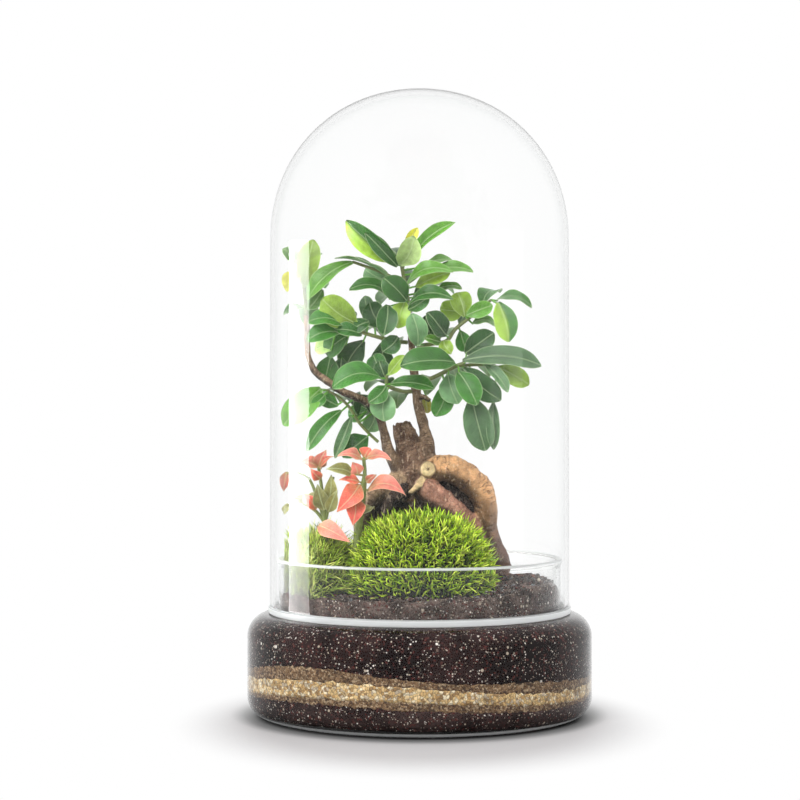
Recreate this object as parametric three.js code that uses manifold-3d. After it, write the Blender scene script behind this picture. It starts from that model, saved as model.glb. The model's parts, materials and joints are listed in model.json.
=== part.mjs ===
// A fig bonsai, a coral-leaved plant and moss, planted in a round glass dish under a glass dome.
// Millimetres, +Z up. The origin is at the middle of the foot, on the surface the dish stands on.
// The view from the front looks along +Y, with +X to the right.

import * as THREE from 'three';
import { mergeVertices } from 'three/addons/utils/BufferGeometryUtils.js';
import Module from 'manifold-3d';

const wasm = await Module();
wasm.setup();

// Driving dimensions of the glass
const DISH_RADIUS = 92.5;
const SHOULDER_HEIGHT = 54;
const DISH_WALL = 3;
const DISH_FLOOR = 2;
const FOOT_ROUNDING = 10;
const SHOULDER_ROUNDING = 12;
const FOOT_RING_INNER = 70;
const FOOT_RECESS = 0.5;
const NECK_RADIUS = 75.8;
const NECK_WALL = 2.4;
const NECK_HEIGHT = 83.5;
const LIP_RADIUS = 77;
const DOME_RADIUS = 80.5;
const DOME_WALL = 2.2;
const DOME_TOP = 335.5;
const DOME_TOP_WALL = 3;
const DOME_STRAIGHT_TOP = 254;
const DOME_ROUNDNESS = 2.08;
const BEAD_RADIUS = 81.3;
const BEAD_HEIGHT = 3.6;
const BEAD_EDGE = 0.8;
const LIP_DROP = 4;
const LIP_EDGE = 1.6;
const LIP_BEVEL = 0.9;
const SHOULDER_FILLET = 2;
const CAP_STEPS = 9;
const GLASS_SEGMENTS = 32;

// Clearance between neighbouring pieces
const GAP = 0.3;
const STEM_CLEARANCE = 0.4;

// Driving dimensions of the planting
const SOIL_LEVEL = 66;
const PALE_LEVEL = 16;
const PALE_DEPTH = 7.2;
const FULL_WAVE_RADIUS = 80;
const LOWER_BROWN_DEPTH = 2.7;
const UPPER_BROWN_DEPTH = 4.9;
const MIDRIB_THICKNESS = 1.3;
const STALK_RADIUS = 0.75;
const MOSS_SEAM = -36.3;
const MOSS_SEAM_CLEARANCE = 0.6;
const MOSS_WALL_CLEARANCE = 0.8;

// How fine the layers and the planted surface are cut
const LAYER_GRID = [16, 2];
const SURFACE_GRID = [20, 6];
const LAYER_REACH = DISH_RADIUS + 4;

// Edges shorter than this are merged away
const FINEST_DETAIL = 0.02;

// Materials, named after what they cover
const colours = {
  glass: { color: 0xe9f1ef, roughness: 0.04, metalness: 0, transparent: true, opacity: 0.3 },
  darkSoil: { color: 0x2a1c1a, roughness: 0.95, metalness: 0 },
  brownSand: { color: 0x6f5138, roughness: 0.92, metalness: 0 },
  paleSand: { color: 0xc49b63, roughness: 0.9, metalness: 0 },
  brightMoss: { color: 0x7da526, roughness: 0.7, metalness: 0 },
  oliveMoss: { color: 0x64752c, roughness: 0.75, metalness: 0 },
  bark: { color: 0x8a5a36, roughness: 0.85, metalness: 0 },
  figLeaf: { color: 0x3a7a3c, roughness: 0.4, metalness: 0 },
  coralLeaf: { color: 0xe8705f, roughness: 0.55, metalness: 0 },
};

// Solids from closed meshes

function signedVolume(points, faces) {
  const at = (i) => new THREE.Vector3(...points[i]);
  return faces.reduce((sum, [a, b, c]) => sum + at(a).dot(at(b).cross(at(c))) / 6, 0);
}

function solidFromFaces(points, faces) {
  const real = faces.filter(([a, b, c]) => a !== b && b !== c && c !== a);
  const outward = signedVolume(points, real) > 0 ? real : real.map(([a, b, c]) => [a, c, b]);
  return new wasm.Manifold(
    new wasm.Mesh({
      numProp: 3,
      vertProperties: new Float32Array(points.flat()),
      triVerts: new Uint32Array(outward.flat()),
    })
  );
}

function solidFromGeometry(geometry) {
  geometry.deleteAttribute('normal');
  geometry.deleteAttribute('uv');
  const merged = mergeVertices(geometry, 1e-4);
  const place = merged.attributes.position;
  const pointAt = (_, i) => [place.getX(i), place.getY(i), place.getZ(i)];
  const points = Array.from({ length: place.count }, pointAt);
  const faces = [];
  for (let i = 0; i < merged.index.count; i += 3) {
    faces.push([merged.index.getX(i), merged.index.getX(i + 1), merged.index.getX(i + 2)]);
  }
  return solidFromFaces(points, faces);
}

// A joined piece keeps its one body: a scrap cut loose is dropped
function oneBody(solid) {
  const bodies = solid.decompose();
  return bodies.reduce((best, body) => (body.volume() > best.volume() ? body : best));
}

function joined(solids) {
  return solids.reduce((sum, solid) => sum.add(solid));
}

function meshOf(name, solid, colour) {
  const { vertProperties, triVerts } = oneBody(solid.simplify(FINEST_DETAIL)).getMesh();
  const geometry = new THREE.BufferGeometry();
  geometry.setAttribute('position', new THREE.BufferAttribute(new Float32Array(vertProperties), 3));
  geometry.setIndex(new THREE.BufferAttribute(new Uint32Array(triVerts), 1));
  geometry.computeVertexNormals();
  const mesh = new THREE.Mesh(geometry, new THREE.MeshStandardMaterial(colours[colour]));
  mesh.name = name;
  return mesh;
}

// Seeded draws, so that every build places the same blades
function seededDraw(seed) {
  let state = seed;
  return () => {
    state = (state * 1664525 + 1013904223) % 4294967296;
    return state / 4294967296;
  };
}

// Turned shapes

function turned(profile) {
  const points = profile.map(([radius, height]) => new THREE.Vector2(radius, height));
  const geometry = new THREE.LatheGeometry(points, GLASS_SEGMENTS);
  geometry.rotateX(Math.PI / 2);
  return solidFromGeometry(geometry);
}

// Points of an arc about (radius, height), angles in degrees from the outward direction
function arc(radius, height, size, from, to, steps) {
  return Array.from({ length: steps + 1 }, (_, i) => {
    const angle = THREE.MathUtils.degToRad(from + ((to - from) * i) / steps);
    return [radius + size * Math.cos(angle), height + size * Math.sin(angle)];
  });
}

function dishSolid() {
  const innerRadius = DISH_RADIUS - DISH_WALL;
  const floor = FOOT_RECESS + DISH_FLOOR;
  const neckInner = NECK_RADIUS - NECK_WALL;
  const innerFoot = FOOT_ROUNDING - DISH_WALL + 1;
  const innerShoulder = SHOULDER_ROUNDING - DISH_WALL;
  return turned([
    [0, FOOT_RECESS],
    [FOOT_RING_INNER - 1, FOOT_RECESS],
    [FOOT_RING_INNER, 0],
    ...arc(DISH_RADIUS - FOOT_ROUNDING, FOOT_ROUNDING, FOOT_ROUNDING, -90, 0, 3),
    ...arc(DISH_RADIUS - SHOULDER_ROUNDING, SHOULDER_HEIGHT - SHOULDER_ROUNDING, SHOULDER_ROUNDING, 0, 90, 4),
    [NECK_RADIUS + 1, SHOULDER_HEIGHT],
    [NECK_RADIUS, SHOULDER_HEIGHT + SHOULDER_FILLET],
    [NECK_RADIUS, NECK_HEIGHT - LIP_DROP],
    [LIP_RADIUS, NECK_HEIGHT - LIP_EDGE],
    [LIP_RADIUS - LIP_BEVEL, NECK_HEIGHT],
    [neckInner + LIP_BEVEL, NECK_HEIGHT],
    [neckInner, NECK_HEIGHT - LIP_EDGE],
    [neckInner, SHOULDER_HEIGHT],
    [neckInner + SHOULDER_FILLET, SHOULDER_HEIGHT - DISH_WALL],
    ...arc(innerRadius - innerShoulder, SHOULDER_HEIGHT - DISH_WALL - innerShoulder, innerShoulder, 90, 0, 3),
    ...arc(innerRadius - innerFoot, floor + innerFoot, innerFoot, 0, -90, 3),
    [0, floor],
  ]);
}

// The cap's half width and height follow a superellipse
function capPoints(radius, top, steps) {
  return Array.from({ length: steps + 1 }, (_, i) => {
    const angle = (Math.PI / 2) * (i / steps);
    const across = i === steps ? 0 : radius * Math.cos(angle) ** (2 / DOME_ROUNDNESS);
    const up = (top - DOME_STRAIGHT_TOP) * Math.sin(angle) ** (2 / DOME_ROUNDNESS);
    return [across, DOME_STRAIGHT_TOP + up];
  });
}

function domeSolid() {
  const foot = SHOULDER_HEIGHT + GAP;
  const inner = DOME_RADIUS - DOME_WALL;
  return turned([
    ...capPoints(inner, DOME_TOP - DOME_TOP_WALL, CAP_STEPS).reverse(),
    [inner, foot],
    [BEAD_RADIUS - BEAD_EDGE, foot],
    [BEAD_RADIUS, foot + BEAD_EDGE],
    [BEAD_RADIUS, foot + BEAD_HEIGHT - BEAD_EDGE],
    [DOME_RADIUS, foot + BEAD_HEIGHT + 1],
    ...capPoints(DOME_RADIUS, DOME_TOP, CAP_STEPS),
  ]);
}

// Soil and sand layers

// The angle round the dish, 0 at the front and positive to the right
const roundFrom = (x, y) => Math.atan2(x, -y);

const paleBottom = (x, y) => {
  const round = roundFrom(x, y);
  const tilt = 0.5 * Math.sin(round) - 0.5 * Math.cos(round);
  const waves = 2.6 * Math.cos(2 * round) - 2.2 * Math.sin(2 * round);
  return PALE_LEVEL + (tilt + waves) * Math.min(1, Math.hypot(x, y) / FULL_WAVE_RADIUS);
};

const paleTop = (x, y) => {
  return paleBottom(x, y) + PALE_DEPTH - 1.4 * Math.sin(2 * roundFrom(x, y));
};

const brownBottom = (x, y) => {
  return paleBottom(x, y) - LOWER_BROWN_DEPTH - 1.2 * Math.cos(2 * roundFrom(x, y));
};

const brownTop = (x, y) => {
  const round = roundFrom(x, y);
  return paleTop(x, y) + UPPER_BROWN_DEPTH - 1.5 * Math.cos(4 * round) - Math.sin(round);
};

// The planted surface: a low mound, a heap at the right, falling towards the right wall
function soilSurface(x, y) {
  const mound = 5 * Math.exp(-(x * x + y * y) / (42 * 42));
  const heap = 9 * Math.exp(-((x - 54) ** 2) / (19 * 19) - ((y + 20) ** 2) / (36 * 36));
  const fall = 1.3 * Math.max(0, x - 69);
  const lumps = 0.7 * Math.sin(0.42 * x + 1) * Math.sin(0.37 * y);
  return SOIL_LEVEL + mound + heap - fall + lumps;
}

// A disc between two height functions, on a round grid
function slab(lowAt, highAt, [sectors, rings]) {
  const points = [];
  for (const height of [lowAt, highAt]) {
    points.push([0, 0, height(0, 0)]);
    for (let ring = 1; ring <= rings; ring++) {
      for (let sector = 0; sector < sectors; sector++) {
        const angle = (2 * Math.PI * (sector + 0.5 * (ring % 2))) / sectors;
        const x = ((LAYER_REACH * ring) / rings) * Math.cos(angle);
        const y = ((LAYER_REACH * ring) / rings) * Math.sin(angle);
        points.push([x, y, height(x, y)]);
      }
    }
  }
  const level = 1 + rings * sectors;
  const inLevel = (ring, sector) => (ring === 0 ? 0 : 1 + (ring - 1) * sectors + (sector % sectors));
  const at = (side, ring, sector) => side * level + inLevel(ring, sector);
  const faces = [];
  for (let sector = 0; sector < sectors; sector++) {
    for (let ring = 0; ring < rings; ring++) {
      const lean = ring % 2;
      for (const side of [0, 1]) {
        const near = at(side, ring, sector);
        const nearNext = at(side, ring, sector + 1);
        const far = at(side, ring + 1, sector);
        const farNext = at(side, ring + 1, sector + 1);
        const pair = lean
          ? [[near, far, farNext], [near, farNext, nearNext]]
          : [[near, far, nearNext], [nearNext, far, farNext]];
        faces.push(...(side ? pair : pair.map(([a, b, c]) => [a, c, b])));
      }
    }
    const [low, lowNext] = [at(0, rings, sector), at(0, rings, sector + 1)];
    const [high, highNext] = [at(1, rings, sector), at(1, rings, sector + 1)];
    faces.push([low, lowNext, highNext], [low, highNext, high]);
  }
  return solidFromFaces(points, faces);
}

// What fills the dish and its neck, a gap inside the glass
function fillSolid() {
  const radius = DISH_RADIUS - DISH_WALL - GAP;
  const neck = NECK_RADIUS - NECK_WALL - GAP;
  const floor = FOOT_RECESS + DISH_FLOOR + GAP;
  const footRound = FOOT_ROUNDING - DISH_WALL + 1;
  const shoulderRound = SHOULDER_ROUNDING - DISH_WALL;
  const shoulder = SHOULDER_HEIGHT - DISH_WALL - GAP;
  return turned([
    [0, floor],
    ...arc(radius - footRound, floor + footRound, footRound, -90, 0, 3),
    ...arc(radius - shoulderRound, shoulder - shoulderRound, shoulderRound, 0, 90, 3),
    [neck + 1.8, shoulder],
    [neck, SHOULDER_HEIGHT - 0.2],
    [neck, NECK_HEIGHT],
    [0, NECK_HEIGHT],
  ]);
}

function layer(fill, lowAt, highAt) {
  const above = (x, y) => lowAt(x, y) + GAP;
  return fill.intersect(slab(above, highAt, LAYER_GRID));
}

// Stems, roots and twigs

// A closed tube along a smooth line: each station is x, y, z and the radius there
function taperedTube(stations, sides, rings, grow = 0, ripple = 0) {
  const curve = new THREE.CatmullRomCurve3(stations.map(([x, y, z]) => new THREE.Vector3(x, y, z)));
  const frames = curve.computeFrenetFrames(rings, false);
  const points = [];
  for (let i = 0; i <= rings; i++) {
    const centre = curve.getPointAt(i / rings);
    const along = curve.getUtoTmapping(i / rings) * (stations.length - 1);
    const before = Math.min(Math.floor(along), stations.length - 2);
    const radius = THREE.MathUtils.lerp(stations[before][3], stations[before + 1][3], along - before) + grow;
    for (let j = 0; j < sides; j++) {
      const angle = (2 * Math.PI * j) / sides;
      const size = radius * (1 + ripple * Math.sin(2.4 * i + 2.1 * j));
      const point = centre.clone();
      point.addScaledVector(frames.normals[i], size * Math.cos(angle));
      point.addScaledVector(frames.binormals[i], size * Math.sin(angle));
      points.push(point.toArray());
    }
  }
  const first = points.push(curve.getPointAt(0).toArray()) - 1;
  const last = points.push(curve.getPointAt(1).toArray()) - 1;
  const faces = [];
  for (let j = 0; j < sides; j++) {
    const next = (j + 1) % sides;
    for (let i = 0; i < rings; i++) {
      const [a, b] = [i * sides + j, i * sides + next];
      faces.push([a, b, b + sides], [a, b + sides, a + sides]);
    }
    faces.push([first, next, j], [last, rings * sides + j, rings * sides + next]);
  }
  return solidFromFaces(points, faces);
}

// Roots and stems of the fig: x, y, z, radius along each
const trunkStump = [
  [-9.5, 5, 156, 4.6], [-7.5, 4.5, 148, 6], [-4, 3, 139, 8], [-2, 2, 131, 9.4], [-2, 2, 120, 9.6],
];
const stemRight = [
  [2, 2, 130, 6], [4, 0.5, 143, 4.4], [2.4, 0, 153, 3.1], [-1, 1, 167, 2.8],
  [-2.5, 2, 180, 2.5], [-4, 2, 196, 2.2], [-4.6, 2, 207, 1.9], [-5, 2, 215, 1.6],
];
const stemLeft = [
  [-9, 1, 128, 5], [-13, 0, 134, 4], [-17, -1, 142, 3.1], [-19.3, -2, 152, 2.5], [-22, -3, 161, 2.4],
  [-27.5, -4.5, 166.5, 2.3], [-34, -6.5, 169.8, 2.2], [-41, -8, 172.5, 2.1], [-49, -9, 178, 2],
  [-55.5, -9, 183, 1.9], [-60, -8, 192.5, 1.8], [-60.5, -6, 206, 1.6], [-61, -4, 214, 1.4],
];
const rootRight = [
  [4, 0, 128, 7], [9.5, -1, 131, 7], [16, -2, 131.3, 7.4], [23.5, -2, 128, 7.5], [31, -2, 121.5, 7.3],
  [35.2, -2, 114, 6.7], [36.2, -1, 105, 5.6], [37.8, 0, 97, 4.6], [41.2, 1, 89, 4.3], [44.2, 2, 81, 4.8],
  [46.8, 3, 71, 5.6], [48.5, 4, 58, 5],
];
const rootMiddle = [
  [0, -1, 124, 7], [6, -4, 118, 7], [13.5, -5, 112.5, 6.6], [22.5, -4, 105.5, 5.8], [30, -2, 98, 4.8],
  [34.5, 1, 88, 4.2], [37, 3, 76, 4.2], [38, 4, 60, 3.6],
];
const rootLeft = [
  [-4, 2, 126, 8], [-13, 0, 122.5, 6.7], [-21, -2, 119.5, 6], [-27, -1, 113, 5.2], [-30.5, 1, 103, 4.6],
  [-31.5, 3, 90, 4.2], [-32, 5, 76, 4.2], [-32.5, 6, 60, 3.6],
];
const rootFront = [
  [-7, -2, 122, 4.8], [-13.5, -6, 115.5, 3.8], [-17.5, -5, 108, 3.3], [-19, -3, 97, 3.1],
  [-20, 0, 82, 3.1], [-20, 2, 60, 3],
];
const rootBackLeft = [
  [-4, 6, 125, 7.4], [-11, 15, 117.5, 6.4], [-16.5, 21.5, 103, 5.6], [-19, 26, 87, 5.1],
  [-20, 29, 73, 4.8], [-20, 30, 58, 4.2],
];
const rootBackRight = [
  [2, 6, 125, 7.4], [11, 16, 119, 6.7], [19, 23.5, 105, 6.1], [24, 28, 89, 5.3],
  [26, 31, 73, 4.8], [27, 32, 58, 4.2],
];
const rootInnerLeft = [
  [-4, 8, 122, 7], [-12, 8, 116, 8], [-18, 8, 106, 7.5], [-24, 8, 94, 6.5], [-26, 8, 80, 6],
  [-26, 8, 60, 5.5],
];
const rootInnerRight = [
  [4, 8, 124, 7], [14, 9, 120, 8], [24, 9, 112, 8], [31, 9, 102, 7], [35, 9, 90, 6],
  [38, 8, 76, 6], [40, 8, 60, 5],
];
const rootMain = [[-2, 3, 120, 8.2], [-1, 3, 104, 6.6], [1, 4, 88, 5.7], [2, 5, 74, 5.6], [2, 5, 58, 5]];
const cutStub = [[3.5, -1, 130.6, 4.2], [4.2, -6, 131, 4.1], [4.7, -11.5, 131.3, 4]];
const smallStub = [[2.5, -6, 126.5, 1.9], [-1, -9.5, 122.4, 1.7], [-5.4, -12, 118, 1.6]];
const knobTwig = [[-1.8, 0.8, 170.5, 1.6], [2.4, -1.6, 169.8, 1.5], [5.6, -2.6, 167.8, 1.2]];

function trunkSolid(grow = 0) {
  const tube = (stations, sides, rings, ripple) => {
    return taperedTube(stations, sides, rings, grow, grow ? 0 : ripple);
  };
  return joined([
    tube(trunkStump, 8, 5, 0.1),
    tube(stemRight, 6, 12, 0.1),
    tube(stemLeft, 6, 18, 0.08),
    tube(rootRight, 8, 15, 0.05),
    tube(rootMiddle, 7, 9, 0.05),
    tube(rootLeft, 7, 9, 0.06),
    tube(rootFront, 5, 7, 0.08),
    tube(rootBackLeft, 7, 7, 0.06),
    tube(rootBackRight, 7, 7, 0.06),
    tube(rootMain, 7, 4, 0.08),
    tube(cutStub, 9, 1, 0),
    tube(smallStub, 5, 2, 0),
    tube(knobTwig, 5, 2, 0.1),
    tube(rootInnerLeft, 6, 5, 0.06),
    tube(rootInnerRight, 6, 6, 0.06),
  ]);
}

// Leaves

// Half width along a blade, from its stalk to its tip
const FIG_OUTLINE = [[0, 0.16], [0.28, 0.86], [0.68, 0.94], [1, 0]];
const CORAL_OUTLINE = [[0, 0.2], [0.3, 1], [0.68, 0.66], [1, 0]];

// The nearest point of a spray's twigs to a leaf's base
function nearestOnTwigs(twigs, place) {
  let best = null;
  for (const twig of twigs) {
    const curve = new THREE.CatmullRomCurve3(twig.map(([x, y, z]) => new THREE.Vector3(x, y, z)));
    for (const point of curve.getPoints(30)) {
      const away = point.distanceTo(place);
      if (!best || away < best.away) {
        best = { point, away };
      }
    }
  }
  return best.point;
}

// A leaf from its twig to its tip, in one skin: a slim stalk, then the blade between its base and
// its tip. Every section has a left edge, a top, a right edge and an underside. Look turns the
// upper face from straight up (0) to the front (90). Bow arches the blade towards that face, fold
// lifts its two edges, wave ripples them.
function leafSolid(row, spray) {
  const [bx, by, bz, tx, ty, tz, width, look, bow, ownFold] = row;
  const base = new THREE.Vector3(bx, by, bz);
  const tip = new THREE.Vector3(tx, ty, tz);
  const axis = tip.clone().sub(base);
  const length = axis.length();
  axis.normalize();
  const turn = THREE.MathUtils.degToRad(look);
  const face = new THREE.Vector3(0, -Math.sin(turn), Math.cos(turn));
  face.addScaledVector(axis, -face.dot(axis)).normalize();
  const side = axis.clone().cross(face);
  const lift = THREE.MathUtils.degToRad(ownFold ?? spray.fold);
  const shifted = (from, ...moves) => {
    const point = from.clone();
    moves.forEach(([direction, amount]) => point.addScaledVector(direction, amount));
    return point;
  };
  const root = nearestOnTwigs(spray.twigs, base);
  const stalkTop = side.clone().cross(base.clone().sub(root)).normalize();
  const sections = [
    [[side, -STALK_RADIUS], [stalkTop, STALK_RADIUS], [side, STALK_RADIUS], [stalkTop, -STALK_RADIUS]]
      .map((move) => shifted(root, move)),
  ];
  spray.outline.slice(0, -1).forEach(([along, half], station) => {
    const middle = shifted(base.clone().lerp(tip, along), [face, 4 * bow * length * along * (1 - along)]);
    const reach = (half * width) / 2;
    const ripple = half > 0.5 ? spray.wave * (station % 2 ? 1 : -1) : 0;
    const out = reach * Math.cos(lift);
    const up = reach * Math.sin(lift);
    sections.push([
      shifted(middle, [side, -out], [face, up + ripple]),
      shifted(middle, [face, 0.2 * MIDRIB_THICKNESS]),
      shifted(middle, [side, out], [face, up - ripple]),
      shifted(middle, [face, -0.8 * MIDRIB_THICKNESS]),
    ]);
  });
  const points = sections.flat().map((point) => point.toArray());
  const end = points.push(tip.toArray()) - 1;
  const faces = [[0, 1, 2], [0, 2, 3]];
  for (let corner = 0; corner < 4; corner++) {
    const next = (corner + 1) % 4;
    for (let section = 0; section < sections.length - 1; section++) {
      const [a, b] = [section * 4 + corner, section * 4 + next];
      faces.push([a, a + 4, b + 4], [a, b + 4, b]);
    }
    faces.push([end - 4 + corner, end, end - 4 + next]);
  }
  return solidFromFaces(points, faces);
}

function spraySolid(spray) {
  const twigs = spray.twigs.map((twig) => taperedTube(twig, 5, Math.round(1.5 * (twig.length - 1))));
  return joined([...twigs, ...spray.leaves.map((row) => leafSolid(row, spray))]);
}

// Leafy sprays of the fig. Twigs: x, y, z, radius. Leaves: base x, y, z, tip x, y, z, width,
// look, bow, and for some the fold.
const sprayTop = {
  outline: FIG_OUTLINE,
  fold: 16,
  wave: 0.5,
  twigs: [
    [[-5.1, 2, 215.4, 1.5], [-7, 1, 226, 1.3], [-9, 0, 238, 1.2], [-11, -1, 249, 1]],
    [[-8, 0.5, 231, 1.1], [-20, -1, 237, 1], [-36, -5, 242.5, 0.8]],
  ],
  leaves: [
    [-11, -2, 243, -39.5, -8, 264, 15, 115, 0.14, 30],
    [-12, -4, 240, -28.5, -14, 257, 9, 70, 0.1],
    [-10.5, -4, 241, -3, -14, 255, 14, 100, 0.05, 25],
    [-7, -1, 249, -1, -3, 261, 9, 100, 0.1, 50],
    [-6, -3, 243, 18.5, -8, 264, 9, 60, 0.08, 35],
    [-16, -2, 234, -45, -9, 245, 11, 8, 0.08],
    [-36, -6, 242, -60, -13, 222, 12, 40, 0.15],
    [-15, -5, 222, -37, -13, 228, 12, 40, 0.2],
    [-7, -8, 221.5, -19, -14, 233, 14, 95, 0.05],
    [-17, -9, 219, -19, -16, 203, 12, 95, 0.08],
    [-7, -5, 229, 17, -14, 237.5, 10, 50, 0.22],
    [6, -5, 238, 28.5, -10, 237.5, 9, 45, 0.08],
    [2, -1, 240, 18, -3, 244, 9, 30, 0.12],
    [-2, -6, 229, 16, -11, 236.5, 9, 75, 0.12],
    [9, -2, 227.5, 22.5, -4, 229.5, 6, 50, 0.1],
    [-6, -8, 218.5, 17, -16, 223, 10.5, 50, 0.2],
    [-6, -9, 216.5, 5, -15, 223.5, 8, 85, 0.08],
    [-8, 5, 230, 2, 28, 238, 14, 10, 0.15],
    [-9, 4, 240, -20, 25, 251, 13, 15, 0.15],
    [-6, 6, 223, -22, 27, 223, 14, 10, 0.15],
    [-3, 6, 224, 19, 21, 229, 13, 15, 0.18],
    [-15, 3, 232, -30, 8, 240, 12, 80, 0.05],
    [-8, -5, 221, -12, -7, 207, 12, 85, 0.06],
  ],
};
const sprayLeftMid = {
  outline: FIG_OUTLINE,
  fold: 16,
  wave: 0.5,
  twigs: [
    [
      [-6.7, 1, 199.4, 1.2], [-14, -3, 200, 1.2], [-26, -7, 203, 1.1],
      [-38, -9, 206.5, 1], [-46, -10, 208, 0.8],
    ],
  ],
  leaves: [
    [-34, -10, 209, -52, -15, 222, 17, 95, 0.06],
    [-41, -12, 208, -59, -18, 210, 12, 50, 0.15],
    [-43, -13, 204, -59.5, -19, 200, 11, 65, 0.12],
    [-31, -9, 203, -45, -15, 206, 9, 60, 0.12],
    [-27, -8, 210, -36, -11, 205, 8, 80, 0.05],
    [-24, 2, 208, -30, 5, 225, 9, 95, 0.05],
    [-19, -3, 207, -27, -1, 221, 13, 95, 0.06],
    [-38, -6, 203, -51, 1, 193, 13, 70, 0.1],
    [-30, -4, 200, -40, 4, 184, 15, 85, 0.1],
    [-20, -1, 199, -22, 8, 181, 14, 90, 0.1],
    [-20, 4, 203, -31, 25, 207, 14, 10, 0.15],
    [-36, 0, 208, -49, 22, 214, 14, 15, 0.15],
    [-12, 5, 200, -14, 27, 196, 13, 10, 0.15],
    [-11.5, -8, 202, -19.5, -10, 194.5, 11, 75, 0.06],
    [-42, 2, 199.5, -57, 4, 196, 12, 60, 0.1],
    [-48, -1, 192, -51.5, 2, 178, 13, 90, 0.06],
    [-42, 0, 191, -44, 3, 177, 12, 92, 0.06],
  ],
};
const sprayLeftTip = {
  outline: FIG_OUTLINE,
  fold: 16,
  wave: 0.4,
  twigs: [[[-61, -3.9, 214.4, 1.2], [-62, -3, 226, 1.1], [-64, -2, 238, 1], [-65.5, -2, 246, 0.8]]],
  leaves: [
    [-62, -5, 229, -57, -9, 254, 13, 72, 0.08],
    [-64.5, -3, 241, -73, -5, 250, 8, 60, 0.08],
    [-65, -5, 237, -71, -9, 227, 10, 80, 0.1],
    [-60, -6, 217, -52, -11, 227, 8, 80, 0.08],
    [-63, -3, 218, -74, 0, 215, 7, 50, 0.1],
    [-60.5, 1, 224, -52, 21, 232, 12, 10, 0.15],
    [-62.5, 1, 236, -57, 20, 249, 12, 15, 0.15],
    [-61.5, 1, 219, -63, 23, 211, 12, 10, 0.15],
  ],
};
const sprayLeftLow = {
  outline: FIG_OUTLINE,
  fold: 16,
  wave: 0.4,
  twigs: [
    [
      [-22.2, -1.6, 145.6, 0.9], [-27.5, -2, 150.5, 0.9], [-32.5, -2.3, 156, 0.9],
      [-38, -2.5, 164.5, 0.9], [-43, -2.5, 169.5, 0.8], [-50, -1.5, 173.5, 0.8],
    ],
  ],
  leaves: [
    [-53, -2, 174.5, -73, -8, 155, 16, 75, 0.12],
    [-42, -6, 162.5, -60, -16, 141.5, 9, 70, 0.15],
    [-36.7, -5, 159, -45, -14, 137.7, 8, 80, 0.08, 35],
    [-28, -4, 148.5, -41.5, -9, 138.5, 14, 60, 0.1],
    [-23.5, 3, 163, -28.5, 5, 151, 11, 95, 0.05],
    [-28, 3, 162.5, -39, 7, 161, 10, 80, 0.08],
    [-44, 1, 165, -54, 4, 170, 9, 80, 0.08],
    [-51, -4, 171, -57.5, -9, 165, 7, 75, 0.08],
    [-35, 2, 165, -43, 23, 169, 13, 10, 0.15],
    [-46, 2, 173, -57, 22, 167, 13, 10, 0.15],
    [-34, 3, 171, -27, 6, 161, 13, 85, 0.06],
  ],
};
const sprayRight = {
  outline: FIG_OUTLINE,
  fold: 16,
  wave: 0.5,
  twigs: [
    [
      [-1.3, 1, 197.4, 1.3], [7, -3, 198.5, 1.3], [14.6, -6, 200, 1.2],
      [19, -6, 206, 1.1], [27, -6, 212.5, 1], [38.5, -6, 222, 0.8],
    ],
  ],
  leaves: [
    [25, -2, 218, 11, 0, 217.5, 12, 95, 0.06],
    [24.3, -7, 213, 20.5, -3, 226.5, 13, 105, 0.06, 25],
    [25, -9, 213.5, 39, -10, 219, 9, 90, 0.08],
    [41, -6, 221.6, 60, -10, 218.5, 9, 40, 0.25],
    [42, -9, 220.5, 47.5, -13, 199.5, 13.5, 92, 0.05, 22],
    [14, -9, 202.7, 5, -17, 214.6, 13, 60, 0.12],
    [-1, -8, 197, -4, -13, 214, 12, 95, 0.06],
    [8, -3, 201, 3, -5, 213.5, 11, 85, 0.06],
    [12, -8, 199, 3, -14, 201.5, 6, 70, 0.08],
    [13, -9, 200, 16.5, -14, 193.5, 8, 85, 0.1],
    [28, -4, 209, 41, -4, 209.5, 8, 40, 0.2],
    [9, 1, 200, 17, 23, 206, 14, 10, 0.15],
    [22, -1, 209, 33, 19, 216, 13, 15, 0.15],
    [34, -2, 219, 44, 14, 228, 12, 15, 0.15],
    [22, -3, 205.5, 26, 0, 194.5, 9.5, 95, 0.06],
  ],
};
const sprayRightLow = {
  outline: FIG_OUTLINE,
  fold: 16,
  wave: 0.5,
  twigs: [
    [[0.9, 1, 177.6, 1.3], [9, -5, 181, 1.3], [20, -11, 186.5, 1.2], [24, -11.5, 187.8, 1.1]],
    [[20, -11, 186.5, 1], [33, -9, 187, 0.9], [42, -8, 186, 0.8]],
  ],
  leaves: [
    [18.7, -14, 188, -9.7, -26, 187, 17, 55, 0.12],
    [15, -13, 181.5, 20, -18, 166.5, 14, 90, 0.06],
    [20.6, -16, 183, 30, -24, 166, 13.5, 85, 0.08],
    [14.5, -9, 176, 8.5, -12, 159.5, 12, 90, 0.06],
    [23, -11, 185, 43, -15, 168, 14, 80, 0.1],
    [22.7, -14, 189, 65, -12, 187, 12.5, 65, 0.12],
    [24.3, -10, 193, 39.4, -13, 204, 13, 80, 0.08],
    [42, -7, 186, 58.5, -9, 176.4, 11, 95, 0.05],
    [34.6, -14, 187, 47, -19, 173, 8, 60, 0.08, 30],
    [27.7, -11, 170, 35, -13, 141.2, 16.5, 92, 0.08],
    [39.4, -8, 167, 39.4, -13, 142, 9, 75, 0.1, 35],
    [15, -4, 184, 20, 18, 178, 14, 10, 0.15],
    [27, -7, 188, 38, 12, 182, 13, 10, 0.15],
    [7, -1, 180, 4, 20, 173, 13, 10, 0.15],
    [3.5, 4, 171, 4.6, 5, 161, 6, 85, 0.06],
  ],
};
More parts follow.
